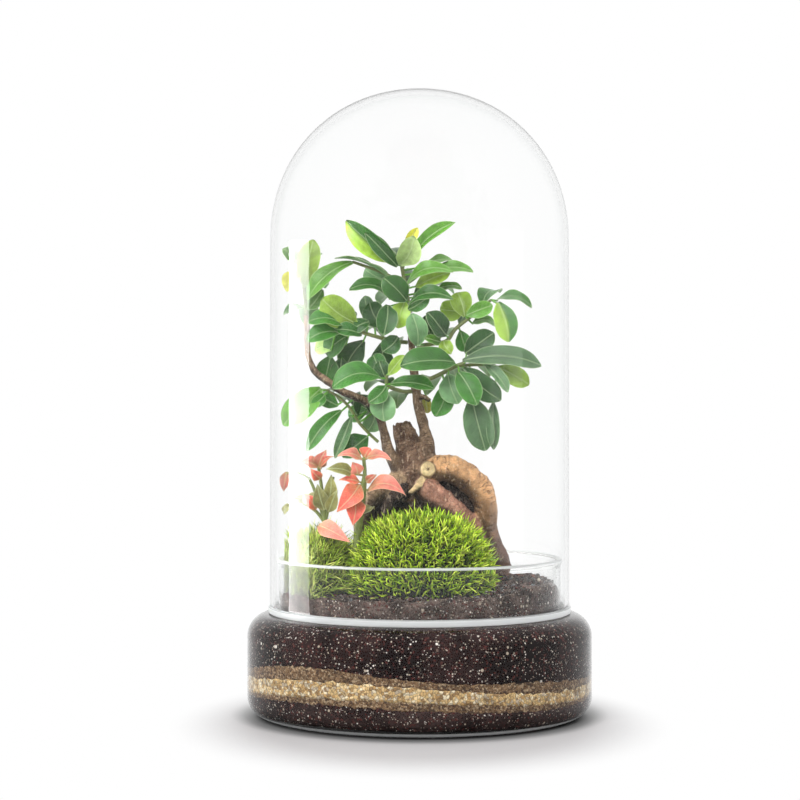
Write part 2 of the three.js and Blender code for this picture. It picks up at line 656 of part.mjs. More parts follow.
const sprayCentre = {
  outline: FIG_OUTLINE,
  fold: 16,
  wave: 0.5,
  twigs: [
    [[-4.6, -0.3, 172.8, 1.2], [-10, -8, 173, 1.2], [-17.5, -14, 176.5, 1.1], [-17.5, -14.5, 181.5, 0.9]],
  ],
  leaves: [
    [-20.7, -16, 180, -46, -24, 175, 15, 55, 0.18],
    [-15.5, -16, 176.5, 7.5, -24, 174.5, 11, 45, 0.1],
    [-18, -17, 175.5, -26.7, -23, 167, 9.5, 85, 0.06],
    [-17.8, -16, 171.5, -18.9, -19, 157, 14.5, 95, 0.08],
    [-16.5, -16, 181.4, -8, -18, 191.7, 7, 90, 0.06],
    [-17.8, -13, 179, -21.6, -12, 189, 9, 90, 0.06],
    [-19, -11, 180, -25, -6, 193, 11, 95, 0.06],
    [-14, -8, 174.5, -29, 11, 175, 13, 10, 0.15],
    [-7, -5, 171, -12, 16, 166, 12, 10, 0.15],
  ],
};

// The coral-leaved plant: one stem at the right, and a bunch of thinner stems at the left
const coralMain = {
  outline: CORAL_OUTLINE,
  fold: 18,
  wave: 0.4,
  twigs: [
    [
      [-34, -38, 60, 2], [-33.6, -39, 85, 2.1], [-31.8, -40, 103, 2.2], [-30, -40, 119, 2.2],
      [-28.7, -40, 130, 1.1], [-29.3, -40, 138, 1],
    ],
  ],
  leaves: [
    [-30, -41, 137, -42.2, -45, 139.8, 8, 45, 0.12],
    [-29, -40, 138, -25.8, -38, 143.2, 9, 80, 0.08],
    [-28, -41, 137.6, -15, -43, 137.5, 8, 40, 0.12],
    [-29, -38, 138, -24, -28, 141, 8, 20, 0.15],
    [-35, -42, 129.6, -48, -47, 132.6, 8, 60, 0.15],
    [-32.5, -41, 129, -35, -42, 135.5, 8, 85, 0.08],
    [-31.5, -41, 125.5, -41, -45.5, 127.4, 6, 60, 0.12],
    [-31.3, -43, 124, -42.5, -50, 111, 12, 75, 0.15],
    [-33.6, -43, 117, -34.6, -48, 103.8, 11, 90, 0.1],
    [-26.9, -41, 121, -7.4, -44, 119, 12, 45, 0.4],
    [-28, -41, 125.3, -23, -43, 129.4, 5, 60, 0.08],
    [-31, -38, 118, -39, -28, 122, 9, 20, 0.15],
    [-30.5, -38, 108, -24, -29, 112, 8, 20, 0.15],
  ],
};
const coralLeft = {
  outline: CORAL_OUTLINE,
  fold: 18,
  wave: 0.4,
  twigs: [
    [
      [-48, -35, 60, 1.5], [-49, -36, 92, 1.4], [-49.3, -37, 104, 1.3],
      [-50.5, -37, 118, 1], [-52.5, -38, 132.5, 0.9],
    ],
    [[-49.3, -37, 104, 1], [-53, -36, 116, 0.9], [-58, -33, 127, 0.8], [-64, -28, 130, 0.7]],
    [[-49.3, -37, 104, 1], [-54, -36, 110, 0.9], [-61, -32, 114, 0.8]],
    [[-49.3, -37, 104, 1], [-46.5, -38, 117, 0.9], [-45, -39, 128, 0.8]],
  ],
  leaves: [
    [-52.3, -38, 133, -48.9, -41, 141.5, 8, 85, 0.08],
    [-51.5, -39, 132, -45, -42, 139, 6, 40, 0.18],
    [-53, -38, 133, -62.5, -40, 136, 8, 50, 0.15],
    [-51.5, -39, 127, -56, -43, 132, 6, 85, 0.06],
    [-70.5, -15, 130, -72.3, -15, 119.5, 6, 80, 0.1],
    [-61.5, -31.5, 114, -66, -28, 118.5, 5, 60, 0.1],
    [-67.5, -20, 113, -73, -15, 107.5, 5, 60, 0.1],
    [-49.5, -40, 111, -53, -42, 124, 9, 90, 0.06],
    [-47.8, -40, 114, -46, -41.5, 129, 8, 90, 0.06],
    [-47.2, -41, 110, -43, -44, 121, 7, 85, 0.06],
    [-52.5, -41, 103, -36.4, -50, 95.4, 10, 75, 0.15],
    [-54, -38, 111, -60, -41, 119, 7, 60, 0.1],
    [-50.5, -34, 115, -50, -24, 121, 8, 15, 0.15],
    [-53, -34, 116, -60, -22, 117, 8, 15, 0.15],
  ],
};

// Moss

// How full a cushion is at its shoulders: 1 gives an ellipsoid, less gives a boxier one
const FULLNESS = 0.75;

// A low rounded core, flat below, in a cushion's outline
function mossCore(cushion, rise, rings, sectors) {
  const points = [[cushion.x, cushion.y, cushion.floor]];
  for (let ring = 0; ring <= rings; ring++) {
    const angle = (Math.PI / 2) * (ring / (rings + 1));
    for (let sector = 0; sector < sectors; sector++) {
      const turn = (2 * Math.PI * sector) / sectors;
      const across = Math.cos(angle) ** FULLNESS;
      points.push([
        cushion.x + cushion.halfX * across * Math.cos(turn),
        cushion.y + cushion.halfY * across * Math.sin(turn),
        cushion.floor + rise * Math.sin(angle) ** FULLNESS,
      ]);
    }
  }
  const top = points.push([cushion.x, cushion.y, cushion.floor + rise]) - 1;
  const at = (ring, sector) => 1 + ring * sectors + (sector % sectors);
  const faces = [];
  for (let sector = 0; sector < sectors; sector++) {
    faces.push([0, at(0, sector + 1), at(0, sector)]);
    for (let ring = 0; ring < rings; ring++) {
      const [a, b] = [at(ring, sector), at(ring, sector + 1)];
      const [c, d] = [at(ring + 1, sector + 1), at(ring + 1, sector)];
      faces.push([a, b, c], [a, c, d]);
    }
    faces.push([at(rings, sector), at(rings, sector + 1), top]);
  }
  return solidFromFaces(points, faces);
}

// A blade this near to upright takes its width along X
const NEARLY_UPRIGHT = 0.01;

// A three-sided blade of moss, sunk into the core at its foot
function mossBlade(foot, tip, size) {
  const axis = tip.clone().sub(foot).normalize();
  const across = new THREE.Vector3(0, 0, 1).cross(axis);
  if (across.lengthSq() < NEARLY_UPRIGHT) {
    across.set(1, 0, 0);
  }
  across.normalize();
  const other = axis.clone().cross(across);
  const points = [0, 1, 2].map((corner) => {
    const angle = (2 * Math.PI * corner) / 3;
    const point = foot.clone().addScaledVector(across, size * Math.cos(angle));
    return point.addScaledVector(other, size * Math.sin(angle)).toArray();
  });
  points.push(tip.toArray());
  return solidFromFaces(points, [[0, 2, 1], [0, 1, 3], [1, 2, 3], [2, 0, 3]]);
}

// Blades stand evenly over the cushion on a sunflower spiral, and lean by a seeded draw.
// Their tips stay inside the neck and on their own side of the seam between the cushions.
const CORE_RINGS = 4;
const CORE_SECTORS = 14;
const BLADE_ABOVE_CORE = 0.7;
const COVERED_HEIGHT = 0.94;
const SEAT_ACROSS = 0.93;
const SEAT_UP = 0.9;
const GOLDEN_ANGLE = Math.PI * (3 - Math.sqrt(5));

function mossSolid(cushion) {
  const rise = cushion.top - cushion.floor - cushion.blade * BLADE_ABOVE_CORE;
  const draw = seededDraw(cushion.seed);
  const solids = [mossCore(cushion, rise, CORE_RINGS, CORE_SECTORS)];
  for (let i = 0; i < cushion.count; i++) {
    const height = 1 - (COVERED_HEIGHT * (i + 0.5)) / cushion.count;
    const spread = Math.sqrt(1 - height * height);
    const turn = i * GOLDEN_ANGLE;
    const outward = new THREE.Vector3(spread * Math.cos(turn), spread * Math.sin(turn), height);
    const foot = new THREE.Vector3(
      cushion.x + cushion.halfX * spread ** FULLNESS * Math.cos(turn) * SEAT_ACROSS,
      cushion.y + cushion.halfY * spread ** FULLNESS * Math.sin(turn) * SEAT_ACROSS,
      cushion.floor + rise * height ** FULLNESS * SEAT_UP
    );
    const lean = new THREE.Vector3(draw() - 0.5, draw() - 0.5, 0.35 + 0.4 * draw());
    const length = cushion.blade * (1 + 0.5 * draw());
    const tip = foot.clone().addScaledVector(outward.add(lean).normalize(), length);
    const nearestSeam = cushion.side * MOSS_SEAM + MOSS_SEAM_CLEARANCE;
    tip.x = cushion.side * Math.max(cushion.side * tip.x, nearestSeam);
    const round = Math.hypot(tip.x, tip.y);
    const room = NECK_RADIUS - NECK_WALL - MOSS_WALL_CLEARANCE;
    if (round > room) {
      tip.x *= room / round;
      tip.y *= room / round;
    }
    solids.push(mossBlade(foot, tip, cushion.bladeSize));
  }
  return joined(solids);
}

const mossMain = {
  x: 0.5, y: -36, halfX: 36, halfY: 26, floor: 63, top: 111,
  blade: 7, bladeSize: 1.5, count: 84, seed: 11, side: 1,
};
const mossLeft = {
  x: -54.5, y: -20, halfX: 17, halfY: 29, floor: 63, top: 99,
  blade: 8, bladeSize: 1.4, count: 38, seed: 23, side: -1,
};

// Assembly. Later pieces are cut clear of those that stand in them.
const ROOM_DEPTH = 0.5;
const ROOM_SIDES = 6;
const ROOM_RINGS = 8;
const MOSS_ROOM_BOTTOM = 40;
const MOSS_ROOM_TOP = 140;

// The hole that a coral stem stands in, a little wider and deeper than the stem
function stemRoom({ twigs }) {
  const stations = twigs[0].map(([x, y, z, radius], station) => {
    return [x, y, station === 0 ? z - ROOM_DEPTH : z, radius + STEM_CLEARANCE];
  });
  return taperedTube(stations, ROOM_SIDES, ROOM_RINGS);
}

const trunk = trunkSolid();
const rooms = trunkSolid(STEM_CLEARANCE).add(stemRoom(coralMain)).add(stemRoom(coralLeft));

const fill = fillSolid();
const belowAll = () => -10;
const aboveNeck = () => NECK_HEIGHT + 5;
const planted = (lift) => slab(belowAll, (x, y) => soilSurface(x, y) + lift, SURFACE_GRID);
const soilTop = layer(fill, brownTop, aboveNeck).intersect(planted(0)).subtract(rooms);
const neckInside = NECK_RADIUS - NECK_WALL - GAP;
const neckRoom = turned([
  [0, MOSS_ROOM_BOTTOM],
  [neckInside, MOSS_ROOM_BOTTOM],
  [neckInside, MOSS_ROOM_TOP],
  [0, MOSS_ROOM_TOP],
]);
const cushion = (moss) => mossSolid(moss).subtract(planted(GAP)).subtract(rooms).intersect(neckRoom);

const terrarium = new THREE.Group();
terrarium.add(
  meshOf('base_dish', dishSolid(), 'glass'),
  meshOf('dome', domeSolid(), 'glass'),
  meshOf('soil_bottom', layer(fill, belowAll, brownBottom), 'darkSoil'),
  meshOf('sand_lower', layer(fill, brownBottom, paleBottom), 'brownSand'),
  meshOf('sand_pale', layer(fill, paleBottom, paleTop), 'paleSand'),
  meshOf('sand_upper', layer(fill, paleTop, brownTop), 'brownSand'),
  meshOf('soil_top', soilTop, 'darkSoil'),
  meshOf('moss_main', cushion(mossMain), 'brightMoss'),
  meshOf('moss_left', cushion(mossLeft), 'oliveMoss'),
  meshOf('ficus_trunk', trunk, 'bark'),
  meshOf('ficus_spray_top', spraySolid(sprayTop), 'figLeaf'),
  meshOf('ficus_spray_left_mid', spraySolid(sprayLeftMid), 'figLeaf'),
  meshOf('ficus_spray_left_tip', spraySolid(sprayLeftTip), 'figLeaf'),
  meshOf('ficus_spray_left_low', spraySolid(sprayLeftLow), 'figLeaf'),
  meshOf('ficus_spray_right', spraySolid(sprayRight), 'figLeaf'),
  meshOf('ficus_spray_right_low', spraySolid(sprayRightLow), 'figLeaf'),
  meshOf('ficus_spray_centre', spraySolid(sprayCentre), 'figLeaf'),
  meshOf('coral_plant_main', spraySolid(coralMain), 'coralLeaf'),
  meshOf('coral_plant_left', spraySolid(coralLeft), 'coralLeaf')
);

export default terrarium;
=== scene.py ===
import json
import math
from itertools import combinations

import bpy
import numpy as np
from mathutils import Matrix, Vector, noise

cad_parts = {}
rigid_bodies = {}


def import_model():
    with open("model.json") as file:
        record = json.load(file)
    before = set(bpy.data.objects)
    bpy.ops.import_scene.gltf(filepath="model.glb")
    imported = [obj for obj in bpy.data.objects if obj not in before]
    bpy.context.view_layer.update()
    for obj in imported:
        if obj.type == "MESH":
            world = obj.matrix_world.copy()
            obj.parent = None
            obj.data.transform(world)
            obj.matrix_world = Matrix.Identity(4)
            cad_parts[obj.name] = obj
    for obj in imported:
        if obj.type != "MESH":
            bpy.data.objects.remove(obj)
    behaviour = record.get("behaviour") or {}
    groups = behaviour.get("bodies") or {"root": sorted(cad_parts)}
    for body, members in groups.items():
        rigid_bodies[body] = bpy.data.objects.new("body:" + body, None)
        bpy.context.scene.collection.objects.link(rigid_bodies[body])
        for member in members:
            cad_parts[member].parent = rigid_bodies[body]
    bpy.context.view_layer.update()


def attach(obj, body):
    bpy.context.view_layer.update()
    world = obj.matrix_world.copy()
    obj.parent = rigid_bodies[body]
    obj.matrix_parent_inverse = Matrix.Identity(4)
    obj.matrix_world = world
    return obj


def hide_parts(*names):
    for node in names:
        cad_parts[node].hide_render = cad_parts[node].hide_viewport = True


# A fig bonsai, a coral-leaved plant and moss on layers of soil and sand, in a round glass dish
# under a glass dome. Shapes are worked out in millimetres and become metres in each mesh.

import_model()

MM = 0.001
TURN = 2 * math.pi

# Glass, as in the construction
DISH_RADIUS = 92.5
SHOULDER_HEIGHT = 54
DISH_WALL = 3
DISH_FLOOR = 2
FOOT_ROUNDING = 10
SHOULDER_ROUNDING = 12
FOOT_RING_INNER = 70
FOOT_RECESS = 0.5
NECK_RADIUS = 75.8
NECK_WALL = 2.4
NECK_HEIGHT = 83.5
LIP_RADIUS = 77
LIP_DROP = 4
DOME_RADIUS = 80.5
DOME_WALL = 2.2
DOME_TOP = 335.5
DOME_TOP_WALL = 3
DOME_STRAIGHT_TOP = 254
DOME_ROUNDNESS = 2.08
BEAD_RADIUS = 81.3
BEAD_HEIGHT = 3.6
BEAD_EDGE = 0.8
GAP = 0.3
GLASS_SEGMENTS = 160
CAP_STEPS = 40
LONGEST_ROW = 8
HOLDING_EDGE = 0.3

# Inside of the dish and its neck
DISH_INNER = DISH_RADIUS - DISH_WALL
NECK_INNER = NECK_RADIUS - NECK_WALL
FLOOR_HEIGHT = FOOT_RECESS + DISH_FLOOR
CEILING_HEIGHT = SHOULDER_HEIGHT - DISH_WALL
INNER_FOOT_ROUNDING = FOOT_ROUNDING - DISH_WALL + 1
INNER_SHOULDER_ROUNDING = SHOULDER_ROUNDING - DISH_WALL

# Planting, as in the construction
SOIL_LEVEL = 66
PALE_LEVEL = 16
PALE_DEPTH = 7.2
FULL_WAVE_RADIUS = 80
LOWER_BROWN_DEPTH = 2.7
UPPER_BROWN_DEPTH = 4.9
MOSS_SEAM = -36.3

# Where the random draws start: crumbs, rootlets, and the first spray of each plant
CRUMB_SEED = 4
ROOTLET_SEED = 31
FIG_SEED = 50
CORAL_SEED = 57

# The soil lies against the glass with no air between, so it reaches this far into the wall
CONTACT = 0.12
LAYER_SEGMENTS = 384

# Bands of height frosted whiter as painted bright lines, at the dish's foot and lip and the dome's bead, and
# the height they are drawn within
DISH_BRIGHT_BANDS = ((0.8, 2.8), (82.3, 84))
DOME_BRIGHT_BANDS = ((54, 57.7),)
BAND_SPAN = 100

# Camera, from the photo's perspective: where it stands, its lens, and how far it looks up
CAMERA_PLACE = (-10.5, -1020, 159)
CAMERA_LENS = 85
CAMERA_PITCH = 0.52
SENSOR_WIDTH = 36


# Meshes

def as_rows(values, count):
    """One row of values for each of count points, from one value or from one per point"""
    values = np.asarray(values, float)
    if values.ndim == 0 or (values.ndim == 1 and values.shape[0] != count):
        values = np.broadcast_to(values, (count,) + values.shape)
    return values


class Skin:
    """Points and faces of one piece, gathered part by part, with named values at each point"""

    def __init__(self):
        self.points = []
        self.faces = []
        self.values = []
        self.count = 0

    def add(self, points, faces, **values):
        points = np.asarray(points, float).reshape(-1, 3)
        for group in faces if isinstance(faces, list) else [faces]:
            self.faces.append(np.asarray(group) + self.count)
        self.points.append(points)
        self.values.append({name: as_rows(value, len(points)) for name, value in values.items()})
        self.count += len(points)

    def piece(self, name, material, slot, *nodes, sharp=None):
        """The finished object: in metres, smooth, riding with the part, standing for the nodes"""
        mesh = bpy.data.meshes.new(name)
        points = np.concatenate(self.points) * MM
        mesh.vertices.add(len(points))
        mesh.vertices.foreach_set("co", points.ravel())
        sizes = np.concatenate([np.full(len(group), group.shape[1]) for group in self.faces])
        corners = np.concatenate([group.ravel() for group in self.faces])
        mesh.loops.add(len(corners))
        mesh.loops.foreach_set("vertex_index", corners.astype(np.int32))
        mesh.polygons.add(len(sizes))
        mesh.polygons.foreach_set("loop_start", (np.cumsum(sizes) - sizes).astype(np.int32))
        mesh.update(calc_edges=True)
        mesh.shade_smooth()
        if sharp:
            mesh.set_sharp_from_angle(angle=math.radians(sharp))
        for key in self.values[0]:
            self.store(mesh, key, np.concatenate([values[key] for values in self.values]))
        mesh.materials.append(material)
        return placed(bpy.data.objects.new(name, mesh), nodes)

    @staticmethod
    def store(mesh, key, values):
        if values.ndim == 1:
            made = mesh.attributes.new(key, "FLOAT", "POINT")
            made.data.foreach_set("value", values.astype(np.float32))
            return
        colours = np.ones((len(values), 4), np.float32)
        colours[:, :3] = values
        made = mesh.attributes.new(key, "FLOAT_COLOR", "POINT")
        made.data.foreach_set("color", colours.ravel())


def placed(piece, nodes):
    bpy.context.scene.collection.objects.link(piece)
    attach(piece, "root")
    if nodes:
        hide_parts(*nodes)
    return piece


def lattice(rows, columns, wrap=True):
    """Quads over rows and columns of points. Wrap joins the last column to the first."""
    i, j = np.meshgrid(np.arange(rows - 1), np.arange(columns - (not wrap)), indexing="ij")
    a = i * columns + j
    b = i * columns + (j + 1) % columns
    return np.stack([a, b, b + columns, a + columns], -1).reshape(-1, 4)


def closed_rows(rows, first, last):
    """Points and faces of a skin of closed rings, with a pole before the first and after the last"""
    count, columns = rows.shape[:2]
    points = np.concatenate([rows.reshape(-1, 3), [first, last]])
    j = np.arange(columns)
    after = (j + 1) % columns
    near, far = count * columns, count * columns + 1
    top = (count - 1) * columns
    poles = np.concatenate([
        np.stack([np.full(columns, near), after, j], -1),
        np.stack([np.full(columns, far), top + j, top + after], -1),
    ])
    return points, [lattice(count, columns), poles]


def around(segments):
    return np.arange(segments) * TURN / segments


def close_rows(profile, longest):
    """The profile with points added along its straight runs, so that they shade as straight"""
    places = np.array(profile, float)
    made = [places[0]]
    for before, after in zip(places, places[1:]):
        length = np.linalg.norm(after - before)
        steps = max(1, math.ceil(length / longest))
        shares = np.linspace(0, 1, steps + 1)[1:]
        if steps > 1:
            hold = HOLDING_EDGE / length
            shares = np.concatenate([[hold], shares[:-1], [1 - hold, 1]])
        made.extend(before + (after - before) * share for share in shares)
    return made


def lathe(profile, segments):
    """A turned skin, from a profile of radius and height that starts and ends on the axis"""
    ring = np.array(close_rows(profile, LONGEST_ROW)[1:-1], float)
    angle = around(segments)
    rows = np.stack([
        ring[:, :1] * np.cos(angle),
        ring[:, :1] * np.sin(angle),
        np.repeat(ring[:, 1:], segments, 1),
    ], -1)
    return closed_rows(rows, (0, 0, profile[0][1]), (0, 0, profile[-1][1]))


def arc(radius, height, size, start, end, steps):
    """Points of an arc about (radius, height), in degrees from the outward direction"""
    angles = np.radians(np.linspace(start, end, steps + 1))
    return [(radius + size * math.cos(a), height + size * math.sin(a)) for a in angles]


def smoothstep(low, high, value):
    share = np.clip((value - low) / (high - low), 0, 1)
    return share * share * (3 - 2 * share)


def rough(points, size, octaves, seed):
    """Fractal noise at each point, about -1 to 1, with features of one size in millimetres"""
    shift = Vector((seed, 2 * seed, 3 * seed))
    return np.array([noise.fractal(Vector(p) / size + shift, 1.0, 2.0, octaves) for p in points])


# Curves

def curve_points(stations, steps):
    """A smooth line through stations, as in the construction, with the radius drawn straight"""
    stations = np.asarray(stations, float)
    places = stations[:, :3]
    before = 2 * places[0] - places[1]
    beyond = 2 * places[-1] - places[-2]
    padded = np.vstack([before, places, beyond])
    made = []
    for share in np.linspace(0, len(places) - 1, steps + 1):
        index = min(int(share), len(places) - 2)
        t = share - index
        p0, p1, p2, p3 = padded[index:index + 4]
        gaps = ((p0, p1), (p1, p2), (p2, p3))
        d0, d1, d2 = (max(np.linalg.norm(b - a), 1e-6) ** 0.5 for a, b in gaps)
        out = ((p1 - p0) / d0 - (p2 - p0) / (d0 + d1) + (p2 - p1) / d1) * d1
        into = ((p2 - p1) / d1 - (p3 - p1) / (d1 + d2) + (p3 - p2) / d2) * d1
        place = (
            p1 + out * t + (3 * (p2 - p1) - 2 * out - into) * t**2
            + (2 * (p1 - p2) + out + into) * t**3
        )
        radius = stations[index, 3] * (1 - t) + stations[index + 1, 3] * t if stations.shape[1] > 3 else 0
        made.append([*place, radius])
    return np.array(made)


def unit(vectors):
    return vectors / np.maximum(np.linalg.norm(vectors, axis=-1, keepdims=True), 1e-9)


def sweep_frames(line):
    """Two directions across a line at each of its points, turning as little as they can"""
    along = unit(np.gradient(line, axis=0))
    side = np.cross(along[0], (0.3, 0.2, 1) if abs(along[0][2]) < 0.9 else (1, 0.2, 0))
    sides = []
    for direction in along:
        side = unit(side - direction * np.dot(side, direction))
        sides.append(side)
    sides = np.array(sides)
    return sides, np.cross(along, sides)


def tube(line, radii, sides):
    """A closed tube along a line of points"""
    side, up = sweep_frames(line)
    angle = around(sides)
    outward = side[:, None] * np.cos(angle)[:, None] + up[:, None] * np.sin(angle)[:, None]
    return closed_rows(line[:, None] + radii[:, None, None] * outward, line[0], line[-1])


# Materials

class Paint:
    """One material's nodes. Sizes of textures are in millimetres of the feature they draw."""

    def __init__(self, name, roughness, specular=0.5):
        self.material = bpy.data.materials.new(name)
        self.material.use_nodes = True
        self.tree = self.material.node_tree
        self.shader = self.tree.nodes["Principled BSDF"]
        self.shader.inputs["Roughness"].default_value = roughness
        self.shader.inputs["Specular IOR Level"].default_value = specular
        self.place = self.node("ShaderNodeTexCoord").outputs["Object"]

    def node(self, kind, inputs=None, **settings):
        made = self.tree.nodes.new(kind)
        for key, value in settings.items():
            setattr(made, key, value)
        for key, value in (inputs or {}).items():
            if isinstance(value, bpy.types.NodeSocket):
                self.tree.links.new(value, made.inputs[key])
            else:
                made.inputs[key].default_value = value
        return made

    def noise(self, size, detail, place=None):
        inputs = {"Vector": place or self.place, "Scale": 1 / (size * MM), "Detail": detail}
        return self.node("ShaderNodeTexNoise", inputs).outputs["Fac"]

    def cells(self, size, output="Color", feature="F1", place=None):
        inputs = {"Vector": place or self.place, "Scale": 1 / (size * MM)}
        return self.node("ShaderNodeTexVoronoi", inputs, feature=feature).outputs[output]

    def warped(self, size, amount):
        """The place, moved about by noise, so that what is drawn there turns irregular"""
        inputs = {"Vector": self.place, "Scale": 1 / (size * MM), "Detail": 3}
        push = self.node("ShaderNodeTexNoise", inputs).outputs["Color"]
        moves = {0: push, 1: (0.5, 0.5, 0.5)}
        middle = self.node("ShaderNodeVectorMath", moves, operation="SUBTRACT").outputs[0]
        moves = {0: middle, 1: (2 * amount * MM,) * 3, 2: self.place}
        return self.node("ShaderNodeVectorMath", moves, operation="MULTIPLY_ADD").outputs[0]

    def stretched(self, scale):
        """The place, scaled along each axis, so that what is drawn there is drawn out"""
        return self.node("ShaderNodeMapping", {"Vector": self.place, "Scale": scale}).outputs[0]

    def ramp(self, share, *stops, smooth=True):
        """Colours or levels at given shares, from the lowest to the highest"""
        made = self.node("ShaderNodeValToRGB", {"Fac": share})
        made.color_ramp.interpolation = "EASE" if smooth else "CONSTANT"
        elements = made.color_ramp.elements
        while len(elements) < len(stops):
            elements.new(0.5)
        for element, (at, colour) in zip(elements, sorted(stops, key=lambda stop: stop[0])):
            element.position = at
            element.color = (*colour, 1) if isinstance(colour, tuple) else (colour,) * 3 + (1,)
        return made.outputs[0]

    def mix(self, share, first, second, blend="MIX"):
        made = self.node("ShaderNodeMix", data_type="RGBA", blend_type=blend)
        for index, value in ((0, share), (6, first), (7, second)):
            if isinstance(value, bpy.types.NodeSocket):
                self.tree.links.new(value, made.inputs[index])
            else:
                made.inputs[index].default_value = (*value, 1) if isinstance(value, tuple) else value
        return made.outputs[2]

    def tinted(self, first, second):
        """One colour multiplied by another"""
        return self.mix(1.0, first, second, "MULTIPLY")

    def channels(self, colour):
        return self.node("ShaderNodeSeparateColor", {"Color": colour}).outputs

    def math(self, operation, first, second=0.0):
        return self.node("ShaderNodeMath", {0: first, 1: second}, operation=operation).outputs[0]

    def times(self, first, second):
        return self.math("MULTIPLY", first, second)

    def height(self):
        """How high the place is, in metres"""
        return self.node("ShaderNodeSeparateXYZ", {"Vector": self.place}).outputs[2]

    def value(self, name, output="Fac"):
        return self.node("ShaderNodeAttribute", attribute_name=name).outputs[output]

    def drive(self, name, socket):
        """Let a socket give one of the shader's inputs"""
        self.tree.links.new(socket, self.shader.inputs[name])

    def mix_surface(self, share, other):
        """Show the shader and a share of another one"""
        mixed = self.node("ShaderNodeMixShader", {0: share, 1: self.shader.outputs[0], 2: other.outputs[0]})
        self.tree.links.new(mixed.outputs[0], self.tree.nodes["Material Output"].inputs["Surface"])

    def bump(self, height, depth, normal=None):
        """Relief of a depth in millimetres, over another one if given"""
        inputs = {"Height": height, "Strength": 1.0, "Distance": depth * MM}
        if normal is not None:
            inputs["Normal"] = normal
        made = self.node("ShaderNodeBump", inputs).outputs[0]
        self.drive("Normal", made)
        return made


# Painted shade on clear glass, from face on to edge on: greyer edge on
GLASS_EDGE_SHADE = ((0.0, (0.998, 0.999, 0.998)), (0.6, (0.985, 0.988, 0.987)), (1.0, (0.76, 0.78, 0.78)))
# The whiter colour of the bands and of the edge-on haze, both painted light
BAND_AND_SHEEN_TINT = (0.93, 0.95, 0.95)


def glass_material(name, bending, ground, edge_sheen):
    """Clear glass greyed edge on by painted shade, and by a share whiter and hazy there as a painted
    reflection. Its bands are frosted whiter as painted bright lines.
    """
    paint = Paint(name, 0.0)
    paint.shader.inputs["Transmission Weight"].default_value = 1.0
    paint.shader.inputs["IOR"].default_value = bending
    facing = paint.node("ShaderNodeLayerWeight", {"Blend": 0.5}).outputs["Facing"]
    height = paint.times(paint.height(), 1 / (BAND_SPAN * MM))
    # Painted reflection: edge on, the glass turns whiter and hazy by a share
    bands_and_sheen = paint.ramp(facing, (0.72, 0.0), (1.0, edge_sheen))
    # Each band of height is frosted whiter: a painted bright line round the glass
    for low, high in ground:
        stops = ((low - 0.2, 0.0), (low + 0.3, 1.0), (high - 0.3, 1.0), (high + 0.2, 0.0))
        band = paint.ramp(height, *((at / BAND_SPAN, level) for at, level in stops))
        bands_and_sheen = paint.math("MAXIMUM", band, bands_and_sheen)
    # Painted shade greys the clear glass edge on
    paint.drive("Base Color", paint.mix(bands_and_sheen, paint.ramp(facing, *GLASS_EDGE_SHADE), BAND_AND_SHEEN_TINT))
    paint.drive("Transmission Weight", paint.math("SUBTRACT", 1.0, paint.times(bands_and_sheen, 0.7)))
    paint.drive("Roughness", paint.times(bands_and_sheen, 0.3))
    in_shadow = paint.node("ShaderNodeLightPath").outputs["Is Shadow Ray"]
    paint.mix_surface(in_shadow, paint.node("ShaderNodeBsdfTransparent", {"Color": (0.96, 0.97, 0.965, 1)}))
    return paint.material


# Pale bits in the soil: their size in millimetres, the share of cells without one, and their reach
SOIL_FLECKS = ((0.8, 0.84, 0.42), (1.3, 0.86, 0.4), (2.6, 0.945, 0.36))
FLECK_TONES = ((0.0, (0.16, 0.11, 0.09)), (0.5, (0.5, 0.42, 0.33)), (1.0, (0.85, 0.8, 0.74)))


def damp(paint):
    """The lower soil's ground, in two tones"""
    mood = paint.ramp(paint.noise(26, 2), (0.38, 0.0), (0.62, 1.0))
    return paint.mix(mood, (0.022, 0.01, 0.009), (0.062, 0.036, 0.033))


def crumbled(paint):
    """The planted soil's ground: purple-black inside the dish, its crumbs' own tints above"""
    inside = paint.ramp(paint.times(paint.height(), 10.0), (0.5, 1.0), (0.6, 0.0))
    mottle = paint.ramp(paint.noise(8, 5), (0.3, 0.5), (0.7, 2.2))
    loose = paint.tinted(paint.value("tint", "Color"), mottle)
    mood = paint.ramp(paint.noise(30, 2), (0.4, 0.0), (0.62, 1.0))
    return paint.mix(inside, loose, paint.mix(mood, (0.006, 0.0015, 0.0015), (0.036, 0.016, 0.015)))


def soil_material(name, ground):
    """Soil of dark crumbs, reddish bits and pale flecks, over a ground that a function draws"""
    paint = Paint(name, 0.85, 0.05)
    crumbs = paint.channels(paint.cells(1.1))
    body = ground(paint)
    body = paint.mix(paint.times(crumbs[0], 0.65), body, (0.003, 0.002, 0.002))
    body = paint.mix(paint.ramp(crumbs[1], (0.86, 0.0), (0.97, 0.8)), body, (0.1, 0.028, 0.024))
    warped = paint.warped(1.2, 0.5)
    for size, kept, reach in SOIL_FLECKS:
        draws = paint.channels(paint.cells(size, place=warped))
        near = paint.ramp(paint.cells(size, "Distance", place=warped), (reach * 0.55, 1.0), (reach, 0.0))
        chosen = paint.math("GREATER_THAN", draws[2], kept)
        body = paint.mix(paint.times(near, chosen), body, paint.ramp(draws[0], *FLECK_TONES))
    paint.drive("Base Color", body)
    fine = paint.bump(paint.noise(0.7, 4), 0.3)
    paint.bump(paint.cells(1.5, "Distance"), 0.35, fine)
    return paint.material


